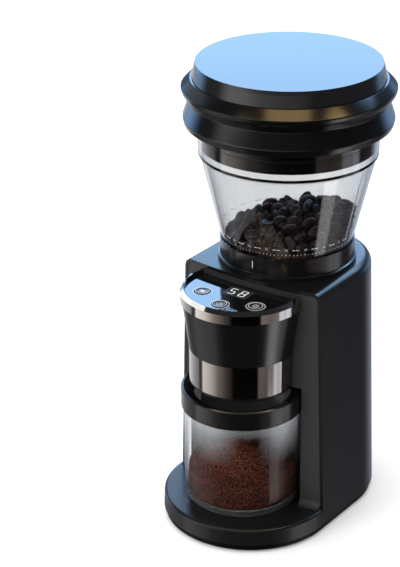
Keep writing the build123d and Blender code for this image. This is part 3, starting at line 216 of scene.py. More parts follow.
def spread_roughness(tree, given, result, noise):
    """Roughness of a group: its middle value, made uneven by a noise."""
    lift = math_node(tree, "SUBTRACT", noise.outputs["Fac"], 0.5)
    rough = math_node(tree, "MULTIPLY_ADD", lift, given.outputs["Spread"], given.outputs["Roughness"])
    tree.links.new(rough, result.inputs["Roughness"])


def moulded_grain_group():
    """Fine grain of moulded plastic: an uneven roughness and a height for a bump."""
    tree, given, result = new_group(
        "moulded_grain",
        [("Grain Scale", 2500.0), ("Patch Scale", 30.0), ("Roughness", 0.4), ("Spread", 0.08)],
        [("Roughness", "NodeSocketFloat"), ("Height", "NodeSocketFloat")])
    place = tree.nodes.new("ShaderNodeTexCoord")
    grain = tree.nodes.new("ShaderNodeTexNoise")
    patch = tree.nodes.new("ShaderNodeTexNoise")
    for noise, label in ((grain, "Grain Scale"), (patch, "Patch Scale")):
        tree.links.new(place.outputs["Object"], noise.inputs["Vector"])
        tree.links.new(given.outputs[label], noise.inputs["Scale"])
    spread_roughness(tree, given, result, patch)
    tree.links.new(grain.outputs["Fac"], result.inputs["Height"])
    return tree


def drawn_lines_group():
    """Hair lines of a rolled or turned metal: a noise that is finer across than along."""
    tree, given, result = new_group(
        "drawn_lines",
        [("Across", 1500.0), ("Along", 8.0), ("Roughness", 0.12), ("Spread", 0.06)],
        [("Roughness", "NodeSocketFloat"), ("Height", "NodeSocketFloat")])
    place = tree.nodes.new("ShaderNodeTexCoord")
    stretch = tree.nodes.new("ShaderNodeCombineXYZ")
    product = tree.nodes.new("ShaderNodeVectorMath")
    product.operation = "MULTIPLY"
    noise = tree.nodes.new("ShaderNodeTexNoise")
    noise.inputs["Scale"].default_value = 1.0
    tree.links.new(given.outputs["Along"], stretch.inputs["X"])
    tree.links.new(given.outputs["Along"], stretch.inputs["Y"])
    tree.links.new(given.outputs["Across"], stretch.inputs["Z"])
    tree.links.new(place.outputs["Object"], product.inputs[0])
    tree.links.new(stretch.outputs[0], product.inputs[1])
    tree.links.new(product.outputs[0], noise.inputs["Vector"])
    spread_roughness(tree, given, result, noise)
    tree.links.new(noise.outputs["Fac"], result.inputs["Height"])
    return tree


MOULDED_GRAIN = moulded_grain_group()
DRAWN_LINES = drawn_lines_group()


# Finishes

GRAIN_DEPTH = 0.05 * MM
LINE_DEPTH = 0.02 * MM
SPECKLE_DEPTH = 0.3 * MM
SPECKLE_DARK_TO = 0.45
SPECKLE_LIGHT_FROM = 0.95
CLEAR_BUMP = 0.003
CLEAR_WAVE = 60.0
DIGIT_GLOW = 0.45


def new_finish(name, colour, **sockets):
    """Principled material; sockets are set on the shader by name, with _ for a space."""
    finish = bpy.data.materials.new(name)
    finish.use_nodes = True
    shader = finish.node_tree.nodes["Principled BSDF"]
    shader.inputs["Base Color"].default_value = (*colour, 1.0)
    for label, value in sockets.items():
        shader.inputs[label.replace("_", " ")].default_value = value
    return finish, finish.node_tree, shader


def add_surface(tree, shader, group, bump, distance, **values):
    """Places a shared effect: its roughness and, through a bump, its height."""
    effect = tree.nodes.new("ShaderNodeGroup")
    effect.node_tree = group
    for label, value in values.items():
        effect.inputs[label.replace("_", " ")].default_value = value
    tree.links.new(effect.outputs["Roughness"], shader.inputs["Roughness"])
    relief = tree.nodes.new("ShaderNodeBump")
    relief.inputs["Strength"].default_value = bump
    relief.inputs["Distance"].default_value = distance
    tree.links.new(effect.outputs["Height"], relief.inputs["Height"])
    tree.links.new(relief.outputs["Normal"], shader.inputs["Normal"])


def moulded(name, colour, roughness, spread=0.06, bump=0.12, grain=2600.0, **sockets):
    """Moulded plastic or rubber with its grain."""
    finish, tree, shader = new_finish(name, colour, **sockets)
    add_surface(tree, shader, MOULDED_GRAIN, bump, GRAIN_DEPTH, Roughness=roughness, Spread=spread,
                Grain_Scale=grain)
    return finish


def metal(name, colour, roughness, spread=0.06, bump=0.05, across=1500.0, along=8.0):
    """Bare metal with drawn lines."""
    finish, tree, shader = new_finish(name, colour, Metallic=1.0)
    add_surface(tree, shader, DRAWN_LINES, bump, LINE_DEPTH, Roughness=roughness, Spread=spread,
                Across=across, Along=along)
    return finish


def either_shader(tree, share, first, second):
    """First shader where the share is 0, second where it is 1."""
    node = tree.nodes.new("ShaderNodeMixShader")
    tree.links.new(share, node.inputs[0])
    tree.links.new(first, node.inputs[1])
    tree.links.new(second, node.inputs[2])
    return node.outputs[0]


def along_axis(tree, axis, stops, turn=0.0):
    """Value that follows one axis of the piece, turned about the jar's own, through (place, value) stops."""
    place = tree.nodes.new("ShaderNodeTexCoord")
    turned = tree.nodes.new("ShaderNodeVectorRotate")
    turned.rotation_type = "Z_AXIS"
    turned.inputs["Center"].default_value = (0.0, JAR_Y, 0.0)
    turned.inputs["Angle"].default_value = turn
    split = tree.nodes.new("ShaderNodeSeparateXYZ")
    tree.links.new(place.outputs["Object"], turned.inputs["Vector"])
    tree.links.new(turned.outputs[0], split.inputs[0])
    low, high = stops[0][0], stops[-1][0]
    level = tree.nodes.new("ShaderNodeMapRange")
    level.inputs["From Min"].default_value = low
    level.inputs["From Max"].default_value = high
    tree.links.new(split.outputs[axis], level.inputs["Value"])
    curve = tree.nodes.new("ShaderNodeValToRGB")
    points = curve.color_ramp.elements
    points.remove(points[1])
    for i, (where, value) in enumerate(stops):
        position = (where - low) / (high - low)
        point = points[0] if i == 0 else points.new(position)
        point.position = position
        point.color = (value, value, value, 1.0)
    tree.links.new(level.outputs[0], curve.inputs["Fac"])
    return curve.outputs["Color"]


# Dust and painted haze on the jar: a pale line at its foot, and a film on its front wall, low at the sides
# and high in the middle. The film is partly dust and partly painted reflected light, strongest at the left
# and the right as the camera sees it and only on the half that faces the camera.
FOOT_LINE = [(19 * MM, 0.30), (21.5 * MM, 0.25), (22.5 * MM, 0.0), (30 * MM, 0.0)]
FILM_RISE = [(63 * MM, 0.0), (74 * MM, 0.05), (83 * MM, 0.13), (95 * MM, 0.24), (96 * MM, 0.0)]
FILM_ACROSS = [(-41 * MM, 0.8), (-24 * MM, 1.2), (-10 * MM, 0.3), (-3 * MM, 0.0), (10 * MM, 0.0),
               (20 * MM, 0.7), (28 * MM, 1.7), (41 * MM, 1.0)]
FILM_HIGH = [(86 * MM, 0.0), (92 * MM, 0.08), (95 * MM, 0.12), (96 * MM, 0.0)]
FILM_DEPTH = [(JAR_Y - 12 * MM, 1.0), (JAR_Y, 0.0)]
DUST_AND_HAZE_COLOUR = (0.55, 0.57, 0.60, 1.0)


def dust_and_painted_haze(tree, wall):
    """Puts the jar's dust and painted haze of reflected light over its clear wall."""
    dust_and_haze = tree.nodes.new("ShaderNodeBsdfDiffuse")
    dust_and_haze.inputs["Color"].default_value = DUST_AND_HAZE_COLOUR
    film = math_node(tree, "MULTIPLY", along_axis(tree, "Z", FILM_RISE),
                     along_axis(tree, "X", FILM_ACROSS, -CAMERA_TURN))
    film = math_node(tree, "ADD", film, along_axis(tree, "Z", FILM_HIGH))
    film = math_node(tree, "MULTIPLY", film, along_axis(tree, "Y", FILM_DEPTH, -CAMERA_TURN))
    share = math_node(tree, "ADD", film, along_axis(tree, "Z", FOOT_LINE))
    return either_shader(tree, share, wall, dust_and_haze.outputs[0])


def clear(name, colour, ior, cover=None):
    """Clear wall that lets lamp light through to what is behind it; cover puts something over it."""
    finish, tree, shader = new_finish(name, colour, IOR=ior, Transmission_Weight=1.0)
    add_surface(tree, shader, MOULDED_GRAIN, CLEAR_BUMP, GRAIN_DEPTH, Roughness=0.0, Spread=0.0,
                Grain_Scale=CLEAR_WAVE)
    wall = shader.outputs[0]
    if cover:
        wall = cover(tree, wall)
    passing = tree.nodes.new("ShaderNodeBsdfTransparent")
    shadow = tree.nodes.new("ShaderNodeLightPath").outputs["Is Shadow Ray"]
    wall = either_shader(tree, shadow, wall, passing.outputs[0])
    tree.links.new(wall, tree.nodes["Material Output"].inputs["Surface"])
    return finish


def speckled(name, dark, light, scale, roughness, bump, mirror, shade=()):
    """Two tones mixed by a fine cell pattern; shade is (height, brightness) stops of painted light and shade.
    """
    finish, tree, shader = new_finish(name, dark, Roughness=roughness, Specular_IOR_Level=mirror)
    place = tree.nodes.new("ShaderNodeTexCoord")
    cells = tree.nodes.new("ShaderNodeTexVoronoi")
    cells.inputs["Scale"].default_value = scale
    ramp = tree.nodes.new("ShaderNodeValToRGB")
    ramp.color_ramp.elements[0].position = SPECKLE_DARK_TO
    ramp.color_ramp.elements[0].color = (*dark, 1.0)
    ramp.color_ramp.elements[1].position = SPECKLE_LIGHT_FROM
    ramp.color_ramp.elements[1].color = (*light, 1.0)
    relief = tree.nodes.new("ShaderNodeBump")
    relief.inputs["Strength"].default_value = bump
    relief.inputs["Distance"].default_value = SPECKLE_DEPTH
    tree.links.new(place.outputs["Object"], cells.inputs["Vector"])
    tree.links.new(cells.outputs["Color"], ramp.inputs["Fac"])
    colour = ramp.outputs["Color"]
    if shade:
        product = tree.nodes.new("ShaderNodeMix")
        product.data_type = "RGBA"
        product.blend_type = "MULTIPLY"
        product.inputs["Factor"].default_value = 1.0
        tree.links.new(colour, product.inputs["A"])
        tree.links.new(along_axis(tree, "Z", shade), product.inputs["B"])
        colour = product.outputs["Result"]
    tree.links.new(colour, shader.inputs["Base Color"])
    tree.links.new(cells.outputs["Distance"], relief.inputs["Height"])
    tree.links.new(relief.outputs["Normal"], shader.inputs["Normal"])
    return finish


SATIN_BLACK = moulded("satin_black_plastic", (0.006, 0.006, 0.006), 0.26, spread=0.04, bump=0.015)
POD_BLACK = moulded("pod_black_plastic", (0.003, 0.003, 0.003), 0.22, spread=0.03, bump=0.05,
                    Specular_IOR_Level=0.8)
LID_BLACK = moulded("lid_black_plastic", (0.008, 0.008, 0.009), 0.14, spread=0.03, bump=0.03)
DARK_GREY = moulded("dark_grey_panel", (0.026, 0.026, 0.026), 0.44)
GLOSS_BLACK = moulded("gloss_black_panel", (0.004, 0.004, 0.005), 0.05, spread=0.02, bump=0.0,
                      Coat_Weight=0.5)
SOFT_BLACK = moulded("bellows_rubber", (0.002, 0.002, 0.002), 0.18, spread=0.03, bump=0.03)
PLUG_BLACK = moulded("plug_black_plastic", (0.004, 0.004, 0.004), 0.10, spread=0.03, bump=0.02)
FOOT_RUBBER = moulded("foot_rubber", (0.012, 0.012, 0.012), 0.7, bump=0.3)
KEY_BLACK = moulded("key_black", (0.02, 0.02, 0.022), 0.25, bump=0.03)
BRIGHT_TRIM = metal("bright_trim", (0.55, 0.53, 0.52), 0.07, spread=0.02, bump=0.0)
DARK_STEEL = metal("dark_polished_steel", (0.42, 0.40, 0.39), 0.09, spread=0.03, bump=0.02,
                   across=6.0, along=900.0)
GROUND_STEEL = metal("ground_steel", (0.55, 0.55, 0.56), 0.28)
SCREW_STEEL = metal("plated_screws", (0.62, 0.62, 0.62), 0.3)
TURNED_BRASS = metal("turned_brass", (0.72, 0.53, 0.24), 0.25)
MOTOR_STEEL = metal("zinc_steel", (0.42, 0.43, 0.44), 0.38)
MAGNET_GREY = moulded("magnet_grey", (0.03, 0.03, 0.03), 0.6)
PALE_NYLON = moulded("pale_nylon", (0.72, 0.69, 0.60), 0.5)
BOARD_GREEN = speckled("board_green", (0.01, 0.07, 0.025), (0.02, 0.10, 0.04), 900.0, 0.4, 0.1, 0.5)
CLEAR_PLASTIC = clear("clear_hopper_plastic", (0.72, 0.73, 0.735), 1.45)
# The jar's glass carries a pale foot line and a film of dust and painted haze of reflected light.
CLEAR_GLASS = clear("clear_jar_glass", (0.88, 0.90, 0.905), 1.2, dust_and_painted_haze)
WINDOW_GREY = moulded("window_grey", (0.026, 0.026, 0.028), 0.4, bump=0.0)
BASE_BLACK = moulded("base_black_plastic", (0.002, 0.002, 0.002), 0.4, Specular_IOR_Level=0.15)
WHITE_PRINT = moulded("white_print", (0.75, 0.75, 0.75), 0.5, bump=0.0)
ROASTED_BEAN = speckled("roasted_bean", (0.020, 0.012, 0.012), (0.050, 0.026, 0.024), 260.0, 0.40, 0.12, 0.30)
# Painted light and shade on the grounds: darker towards the floor of the jar, lighter on the top of the heap.
GROUNDS_PAINTED_LIGHT_AND_SHADE = [(24 * MM, 0.42), (40 * MM, 0.48), (50 * MM, 0.82), (58 * MM, 1.0), (68 * MM, 1.6)]
GROUND_COFFEE = speckled("ground_coffee", (0.018, 0.007, 0.005), (0.29, 0.082, 0.042), 1700.0, 0.8, 0.6, 0.1,
                         GROUNDS_PAINTED_LIGHT_AND_SHADE)


def lit_digits():
    finish, _, shader = new_finish("lit_digits", (0.9, 0.9, 0.9), Roughness=0.4)
    shader.inputs["Emission Color"].default_value = (0.95, 0.97, 1.0, 1.0)
    shader.inputs["Emission Strength"].default_value = DIGIT_GLOW
    return finish


LIT_DIGITS = lit_digits()

# Finish of each material slot of the CAD model, and of the nodes that have their own
SLOT_FINISH = {
    "satin_black": SATIN_BLACK, "dark_grey": DARK_GREY, "gloss_black": GLOSS_BLACK,
    "bright_trim": BRIGHT_TRIM, "polished_steel": DARK_STEEL, "black_rubber": FOOT_RUBBER,
    "clear_plastic": CLEAR_PLASTIC, "clear_glass": CLEAR_GLASS, "burr_steel": GROUND_STEEL,
    "screw_steel": SCREW_STEEL, "brass": TURNED_BRASS, "pale_nylon": PALE_NYLON,
    "motor_steel": MOTOR_STEEL, "magnet": MAGNET_GREY, "green_board": BOARD_GREEN,
}
NODE_FINISH = {
    "lid_cap": LID_BLACK, "pod_shell": POD_BLACK, "jar_ring": POD_BLACK, "hopper_collar": POD_BLACK,
    "lid_ring": PLUG_BLACK, "display_lens": WINDOW_GREY, "base_plate": BASE_BLACK,
    "key_left": KEY_BLACK, "key_middle": KEY_BLACK, "key_right": KEY_BLACK,
}


def finish_nodes():
    """Every CAD node gets the finish of its material slot, or its own."""
    for entry in frame["record"]["subparts"]:
        finish = NODE_FINISH.get(entry["node"], SLOT_FINISH[entry["material_slot"]])
        mesh = nodes[entry["node"]].data
        mesh.materials.clear()
        mesh.materials.append(finish)


# Bellows

BELLOWS_SEGMENTS = 200
FOLD_STEPS = 7


def make_bellows():
    """Two soft folds that grip the lid's flange and carry its cap."""
    low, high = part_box("bellows")
    base = low.z / MM
    top = high.z / MM
    outer = [(75.6, base), (76.7, base + 5.0), (72.4, base + 17.4), (76.9, base + 24.0), (78.0, base + 27.2),
             (71.4, top)]
    inner = [(67.5, top), (75.4, base + 27.0), (74.4, base + 24.4), (70.0, base + 17.4), (74.0, base + 5.4),
             (66.6, base + 5.0)]
    grip = [(66.6, base + 3.3), (69.5, base + 3.3), (69.5, base)]
    corners = grip + outer + inner
    rounds = {3: 1.3, 4: 3.4, 5: 1.4, 6: 1.3, 7: 1.3, 8: 0.4, 10: 1.5, 11: 1.5, 12: 1.5, 13: 2.0}
    profile = rounded(corners, rounds, FOLD_STEPS)
    obj = turn_profile([(r * MM, z * MM) for r, z in profile], HOPPER_Y, BELLOWS_SEGMENTS)
    settle(obj, "bellows_skin", SOFT_BLACK, "lid")
    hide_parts("bellows")
    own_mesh(obj)


# Beans

BEAN_LENGTH = 13.0 * MM
BEAN_WIDTH = 9.2 * MM
BEAN_DEPTH = 6.8 * MM
BEAN_BELLY = 0.275 * BEAN_DEPTH
BEAN_LIP = 0.8 * MM
BEAN_CREASE = 1.2 * MM
BEAN_CREASE_SHARE = 0.16
BEAN_SIZES = (0.92, 1.06)
BEAN_COUNT = 220
# While they are poured, each bean is two joined balls
BEAN_BALL = 3.8 * MM
WALL_GAP = 0.6 * MM
FUNNEL_GAP = 0.4 * MM
FUNNEL_SLOPE = 5.5 / 22.4
POUR_R = 30 * MM
POUR_LOW_MM = 212
POUR_HIGH_MM = 330
POUR_PULL = np.array([0.10, 0.12, -1.0]) * 0.45 * MM
POUR_STEPS = 380
SLOW_FROM = 330
SLOW_PULL = 0.3
PUSH_APART = 0.36
TINY = 1e-9


def hopper_reach(z):
    """Radius that the balls of a bean may reach inside the hopper at a height."""
    share = np.clip((z - HOPPER_CONE_Z) / (HOPPER_STEP_Z - HOPPER_CONE_Z), 0, 1)
    cone = HOPPER_FOOT_R + (HOPPER_STEP_R - HOPPER_FOOT_R) * share - HOPPER_WALL
    return cone - BEAN_BALL - WALL_GAP


def funnel_height(r):
    """Lowest height of a ball's centre over the funnel floor."""
    return FUNNEL_Z + np.maximum(r - THROAT_R, 0) * FUNNEL_SLOPE + BEAN_BALL + FUNNEL_GAP


def poured_beans():
    """Drops joined balls into the hopper and lets them come to rest; returns both ends of each bean."""
    chance = np.random.default_rng(7)
    count = BEAN_COUNT
    angle = chance.uniform(0, 2 * np.pi, count)
    reach = POUR_R * np.sqrt(chance.uniform(0, 1, count))
    height = np.linspace(POUR_LOW_MM, POUR_HIGH_MM, count) * MM
    centre = np.stack([reach * np.cos(angle), reach * np.sin(angle), height], 1)
    aim = chance.normal(size=(count, 3))
    aim /= np.linalg.norm(aim, axis=1, keepdims=True)
    span = BEAN_LENGTH - 2 * BEAN_BALL
    ends = np.concatenate([centre - aim * span / 2, centre + aim * span / 2])
    near_pair = np.zeros((2 * count, 2 * count), bool)
    rows = np.arange(count)
    near_pair[rows, rows + count] = near_pair[rows + count, rows] = True
    np.fill_diagonal(near_pair, True)
    for step in range(POUR_STEPS):
        ends = ends + POUR_PULL * (1.0 if step < SLOW_FROM else SLOW_PULL)
        for _ in range(2):
            gap = ends[:, None, :] - ends[None, :, :]
            distance = np.sqrt((gap ** 2).sum(-1)) + TINY
            overlap = np.clip(2 * BEAN_BALL - distance, 0, None)
            overlap[near_pair] = 0
            push = (gap / distance[..., None]) * (overlap * PUSH_APART)[..., None]
            ends = ends + push.sum(1)
            link = ends[count:] - ends[:count]
            length = np.linalg.norm(link, axis=1, keepdims=True) + TINY
            fix = link / length * (length - span) * 0.5
            ends[:count] += fix
            ends[count:] -= fix
            r = np.hypot(ends[:, 0], ends[:, 1]) + TINY
            limit = hopper_reach(ends[:, 2])
            ends[:, :2] *= np.minimum(1, limit / r)[:, None]
            r = np.minimum(r, limit)
            ends[:, 2] = np.maximum(ends[:, 2], funnel_height(r))
    ends[:, 1] += HOPPER_Y
    return ends[:count], ends[count:], chance


def bean_shape():
    """One roasted bean: a rounded back, a flat belly and the crease along it."""
    start_fresh()
    bpy.ops.mesh.primitive_uv_sphere_add(segments=10, ring_count=6, radius=0.5)
    bean = bpy.context.object
    bpy.ops.object.mode_set(mode="EDIT")
    bpy.ops.mesh.select_all(action="SELECT")
    bpy.ops.transform.rotate(value=math.pi / 2, orient_axis="Y", center_override=(0, 0, 0))
    bpy.ops.transform.resize(value=(BEAN_LENGTH, BEAN_WIDTH, BEAN_DEPTH))
    bpy.ops.mesh.bisect(plane_co=(0, 0, -BEAN_BELLY), plane_no=(0, 0, 1), use_fill=True, clear_inner=True)
    bpy.ops.mesh.inset(thickness=BEAN_LIP)
    bpy.ops.transform.resize(value=(1, BEAN_CREASE_SHARE, 1))
    bpy.ops.transform.translate(value=(0, 0, BEAN_CREASE))
    leave_edit_mode()
    bpy.ops.object.shade_smooth()
    return bean


def make_beans():
    """Heap of beans in the hopper."""
    first, second, chance = poured_beans()
    model = bean_shape()
    beans = []
    for a, b in zip(first, second):
        middle = Vector((a + b) / 2)
        along = Vector(b - a).normalized()
        roll = Matrix.Rotation(chance.uniform(0, 2 * math.pi), 3, "X").to_quaternion()
        turn = along.to_track_quat("X", "Z") @ roll
        size = chance.uniform(*BEAN_SIZES)
        bean = bpy.data.objects.new("bean", model.data.copy())
        bpy.context.scene.collection.objects.link(bean)
        bean.data.transform(Matrix.Translation(middle) @ turn.to_matrix().to_4x4() @ Matrix.Scale(size, 4))
        beans.append(bean)
    bpy.data.objects.remove(model)
    settle(join(beans), "coffee_beans", ROASTED_BEAN, "hopper")


# Grounds

GROUNDS_SIDE_Z = 46.0 * MM
GROUNDS_PEAK_Z = 62.0 * MM
GROUNDS_GAP = 0.4 * MM
GROUNDS_R = JAR_INNER_R - GROUNDS_GAP
GROUNDS_FLOOR_Z = JAR_FLOOR_Z + GROUNDS_GAP
GROUNDS_CORNER = 5.0 * MM
GROUNDS_CUT = 0.3 * GROUNDS_CORNER
MOUND_POWER = 1.1
MOUND_RINGS = 40
SIDE_RINGS = 24
GROUNDS_SEGMENTS = 220
LUMP_SIZE = 1.1 * MM
LUMP_DEPTH = 0.7 * MM
CRUMB_COUNT = 900
CRUMB_R = 0.5 * MM
CRUMB_SIZES = (0.5, 1.3)
CRUMB_SINK = 0.3 * MM
CRUMB_REACH = 0.98


def mound_height(r):
    """Height of the heap of grounds at a distance from the jar's axis."""
    share = min(1.0, r / GROUNDS_R)
    rise = 0.5 + 0.5 * math.cos(math.pi * share ** MOUND_POWER)
    return GROUNDS_SIDE_Z + (GROUNDS_PEAK_Z - GROUNDS_SIDE_Z) * rise


def grounds_profile():
    """Outline of the heap from its flat floor, up the jar's wall and over the mound."""
    wall_z = GROUNDS_FLOOR_Z + GROUNDS_CORNER
    wall_high = GROUNDS_SIDE_Z - GROUNDS_FLOOR_Z - GROUNDS_CORNER
    profile = [(2 * MM, GROUNDS_FLOOR_Z), (20 * MM, GROUNDS_FLOOR_Z),
               (GROUNDS_R - GROUNDS_CORNER, GROUNDS_FLOOR_Z),
               (GROUNDS_R - GROUNDS_CUT, GROUNDS_FLOOR_Z + GROUNDS_CUT), (GROUNDS_R, wall_z)]
    profile += [(GROUNDS_R, wall_z + wall_high * i / SIDE_RINGS) for i in range(1, SIDE_RINGS)]
    mound = [GROUNDS_R * (1 - i / MOUND_RINGS) for i in range(MOUND_RINGS)]
    return profile + [(r, mound_height(r)) for r in mound]


def make_grounds():
    """Heap of ground coffee against the jar's wall, with loose crumbs over it."""
    heap = turn_profile(grounds_profile(), JAR_Y, GROUNDS_SEGMENTS, closed=False)
    lumps = bpy.data.textures.new("grounds_lumps", "CLOUDS")
    lumps.noise_scale = LUMP_SIZE
    apply_modifier(heap, "DISPLACE", texture=lumps, texture_coords="LOCAL", strength=LUMP_DEPTH,
                   mid_level=1.0)

    chance = random.Random(11)
    start_fresh()
    bpy.ops.mesh.primitive_ico_sphere_add(subdivisions=1, radius=CRUMB_R)
    model = bpy.context.object
    crumbs = [heap]
    for _ in range(CRUMB_COUNT):
        r = GROUNDS_R * math.sqrt(chance.random()) * CRUMB_REACH
        angle = chance.uniform(0, 2 * math.pi)
        size = chance.uniform(*CRUMB_SIZES)
        place = Vector((r * math.cos(angle), JAR_Y + r * math.sin(angle), mound_height(r) - CRUMB_SINK))
        tip = Matrix.Rotation(chance.uniform(0, math.pi), 4, "X")
        tip = tip @ Matrix.Rotation(chance.uniform(0, math.pi), 4, "Y")
        shape = Matrix.Diagonal((size, 0.8 * size, 0.6 * size, 1))
        crumb = bpy.data.objects.new("crumb", model.data.copy())
        bpy.context.scene.collection.objects.link(crumb)
        crumb.data.transform(Matrix.Translation(place) @ tip @ shape)
        crumbs.append(crumb)
    bpy.data.objects.remove(model)
    settle(join(crumbs), "coffee_grounds", GROUND_COFFEE, "jar")


# Printed marks

PRINT_LIFT = 0.04 * MM
# How far a print stands off a wall before it is laid on it
HOPPER_OFF = 0.3 * MM
COLLAR_OFF = 0.2 * MM
ARC_POINTS = 72
SCALE_STEPS = 100
SCALE_PITCH = math.radians(3.2)
SCALE_GROUP = 5
TICK_WIDTH = 0.28 * MM
TICK_LONG = 1.3 * MM
TICK_SHORT = 0.8 * MM
TICK_FOOT_Z = 214.5 * MM
NUMBER_SIZE = 2.4 * MM
NUMBER_Z = 219.2 * MM
DASH_LENGTH = 2.2 * MM
DASH_WIDTH = 0.45 * MM
POINTER_LENGTH = 5.6 * MM
POINTER_WIDTH = 0.48 * MM
POINTER_Z = 205.0 * MM
POINTER_TURN = math.radians(3.0)


def lay_on(obj, node):
    """Presses a flat print onto a CAD surface."""
    apply_modifier(obj, "SHRINKWRAP", target=nodes[node], wrap_method="NEAREST_SURFACEPOINT",
                   wrap_mode="OUTSIDE_SURFACE", offset=PRINT_LIFT)


def bar(width, height, x=0.0, y=0.0):
    """Flat bar with a few cuts along it, so it can bend round a surface."""
    start_fresh()
    bpy.ops.mesh.primitive_grid_add(x_subdivisions=4, y_subdivisions=4, size=1)
    obj = bpy.context.object
    obj.scale = (width, height, 1)
    obj.location = (x, y, 0)
    bpy.ops.object.transform_apply(location=True, rotation=True, scale=True)
    return obj


def arc(radius, width, start=0.0, end=360.0, x=0.0, y=0.0):
    """Flat ring, or a part of one between two angles in degrees."""
    start_fresh()
    bpy.ops.mesh.primitive_circle_add(vertices=ARC_POINTS, radius=radius - width / 2)
    obj = bpy.context.object
    bpy.ops.object.mode_set(mode="EDIT")
    bpy.ops.mesh.select_all(action="SELECT")
    bpy.ops.mesh.extrude_region_move()
    share = (radius + width / 2) / (radius - width / 2)
    bpy.ops.transform.resize(value=(share, share, 1))
    bpy.ops.mesh.select_all(action="DESELECT")
    leave_edit_mode()
    for vertex in obj.data.vertices:
        angle = math.degrees(math.atan2(vertex.co.y, vertex.co.x)) % 360
        vertex.select = not start - 0.1 <= angle <= end + 0.1
    bpy.ops.object.mode_set(mode="EDIT")
    bpy.ops.mesh.delete(type="VERT")
    leave_edit_mode()
    obj.location = (x, y, 0)
    bpy.ops.object.transform_apply(location=True, rotation=True, scale=True)
    return obj


def digits(text, size):
    """Plain numbers as a flat mesh, centred."""
    start_fresh()
    bpy.ops.object.text_add()
    obj = bpy.context.object
    obj.data.body = text
    obj.data.size = size
    obj.data.align_x = "CENTER"
    obj.data.align_y = "CENTER"
    bpy.ops.object.convert(target="MESH")
    return bpy.context.object


def stand_on_ring(obj, radius, z, angle, y):
    """Stands a flat print upright on a ring round the axis at y; angle 0 faces the front."""
    upright = Matrix.Translation((0, -radius, z)) @ Matrix.Rotation(math.pi / 2, 4, "X")
    obj.data.transform(Matrix.Translation((0, y, 0)) @ Matrix.Rotation(angle, 4, "Z") @ upright)


def stand_on_hopper(obj, z, angle):
    """Stands a flat print just off the hopper's sloping wall."""
    slope = (HOPPER_STEP_R - HOPPER_FOOT_R) / (HOPPER_STEP_Z - HOPPER_CONE_Z)
    stand_on_ring(obj, HOPPER_FOOT_R + slope * (z - HOPPER_CONE_Z) + HOPPER_OFF, z, angle, HOPPER_Y)
    return obj


def make_grind_scale():
    """Ticks, numbers and dashes round the foot of the hopper."""
    marks = []
    for i in range(SCALE_STEPS + 1):
        angle = (i - SCALE_STEPS / 2) * SCALE_PITCH
        place = i % SCALE_GROUP
        tall = TICK_LONG if place == 0 else TICK_SHORT
        marks.append(stand_on_hopper(bar(TICK_WIDTH, tall), TICK_FOOT_Z + tall / 2, angle))
        if place == 0:
            marks.append(stand_on_hopper(digits(str(i // SCALE_GROUP), NUMBER_SIZE), NUMBER_Z, angle))
        elif place in (2, 3):
            marks.append(stand_on_hopper(bar(DASH_LENGTH, DASH_WIDTH), NUMBER_Z, angle))
    scale = join(marks)
    lay_on(scale, "hopper")
    settle(scale, "grind_scale", WHITE_PRINT, "hopper")


def make_pointer():
    """White line on the collar that the scale is read against."""
    line = bar(POINTER_WIDTH, POINTER_LENGTH)
    stand_on_ring(line, COLLAR_R + COLLAR_OFF, POINTER_Z, POINTER_TURN, HOPPER_Y)
    lay_on(line, "hopper_collar")
    settle(line, "scale_pointer", WHITE_PRINT, "housing")


# Bars of a seven-bar number, by letter from the top one round, and g in the middle
SEGMENTS = {"5": "afgcd", "8": "abcdefg"}
DIGIT_TALL = 8.4 * MM
DIGIT_WIDE = 4.4 * MM
DIGIT_THICK = 0.6 * MM
DIGIT_ASIDE = 4.4 * MM


def make_display():
    """Two lit numbers on the display window."""
    low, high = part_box("display_lens")
    middle = (low + high) / 2
    tall, wide, thick = DIGIT_TALL, DIGIT_WIDE, DIGIT_THICK
    places = {"a": (0, tall / 2, True), "g": (0, 0, True), "d": (0, -tall / 2, True),
              "f": (-wide / 2, tall / 4, False), "b": (wide / 2, tall / 4, False),
              "e": (-wide / 2, -tall / 4, False), "c": (wide / 2, -tall / 4, False)}
    bars = []
    for offset, number in ((-DIGIT_ASIDE, "5"), (DIGIT_ASIDE, "8")):
        for segment in SEGMENTS[number]:
            x, y, lying = places[segment]
            size = (wide - thick * 0.5, thick) if lying else (thick, tall / 2 - thick * 0.5)
            bars.append(bar(*size, middle.x + offset + x, middle.y + y))
    shown = join(bars)
    shown.data.transform(Matrix.Translation((0, 0, high.z + PRINT_LIFT)))
    settle(shown, "display_digits", LIT_DIGITS, "housing")


SIGN_LINE = 0.45 * MM
THIN_LINE = 0.4 * MM
SIGN_RING_R = 5.1 * MM
SIGN_RING_LINE = 0.35 * MM
KEY_RING_R = 6.9 * MM


def cup_sign():
    return [bar(3.4 * MM, 2.2 * MM, -0.3 * MM, 0.2 * MM), arc(0.9 * MM, THIN_LINE, x=1.7 * MM, y=0.4 * MM),
            bar(4.6 * MM, THIN_LINE, 0, -1.6 * MM)]


def start_sign():
    return [arc(2.0 * MM, SIGN_LINE, 0, 62), arc(2.0 * MM, SIGN_LINE, 118, 360),
            bar(SIGN_LINE, 2.0 * MM, 0, 1.5 * MM)]


def bean_sign():
    return [arc(2.2 * MM, SIGN_LINE, 20, 160), arc(2.2 * MM, SIGN_LINE, 200, 340), bar(4.0 * MM, THIN_LINE)]


KEY_SIGNS = {"key_left": cup_sign, "key_middle": start_sign, "key_right": bean_sign}


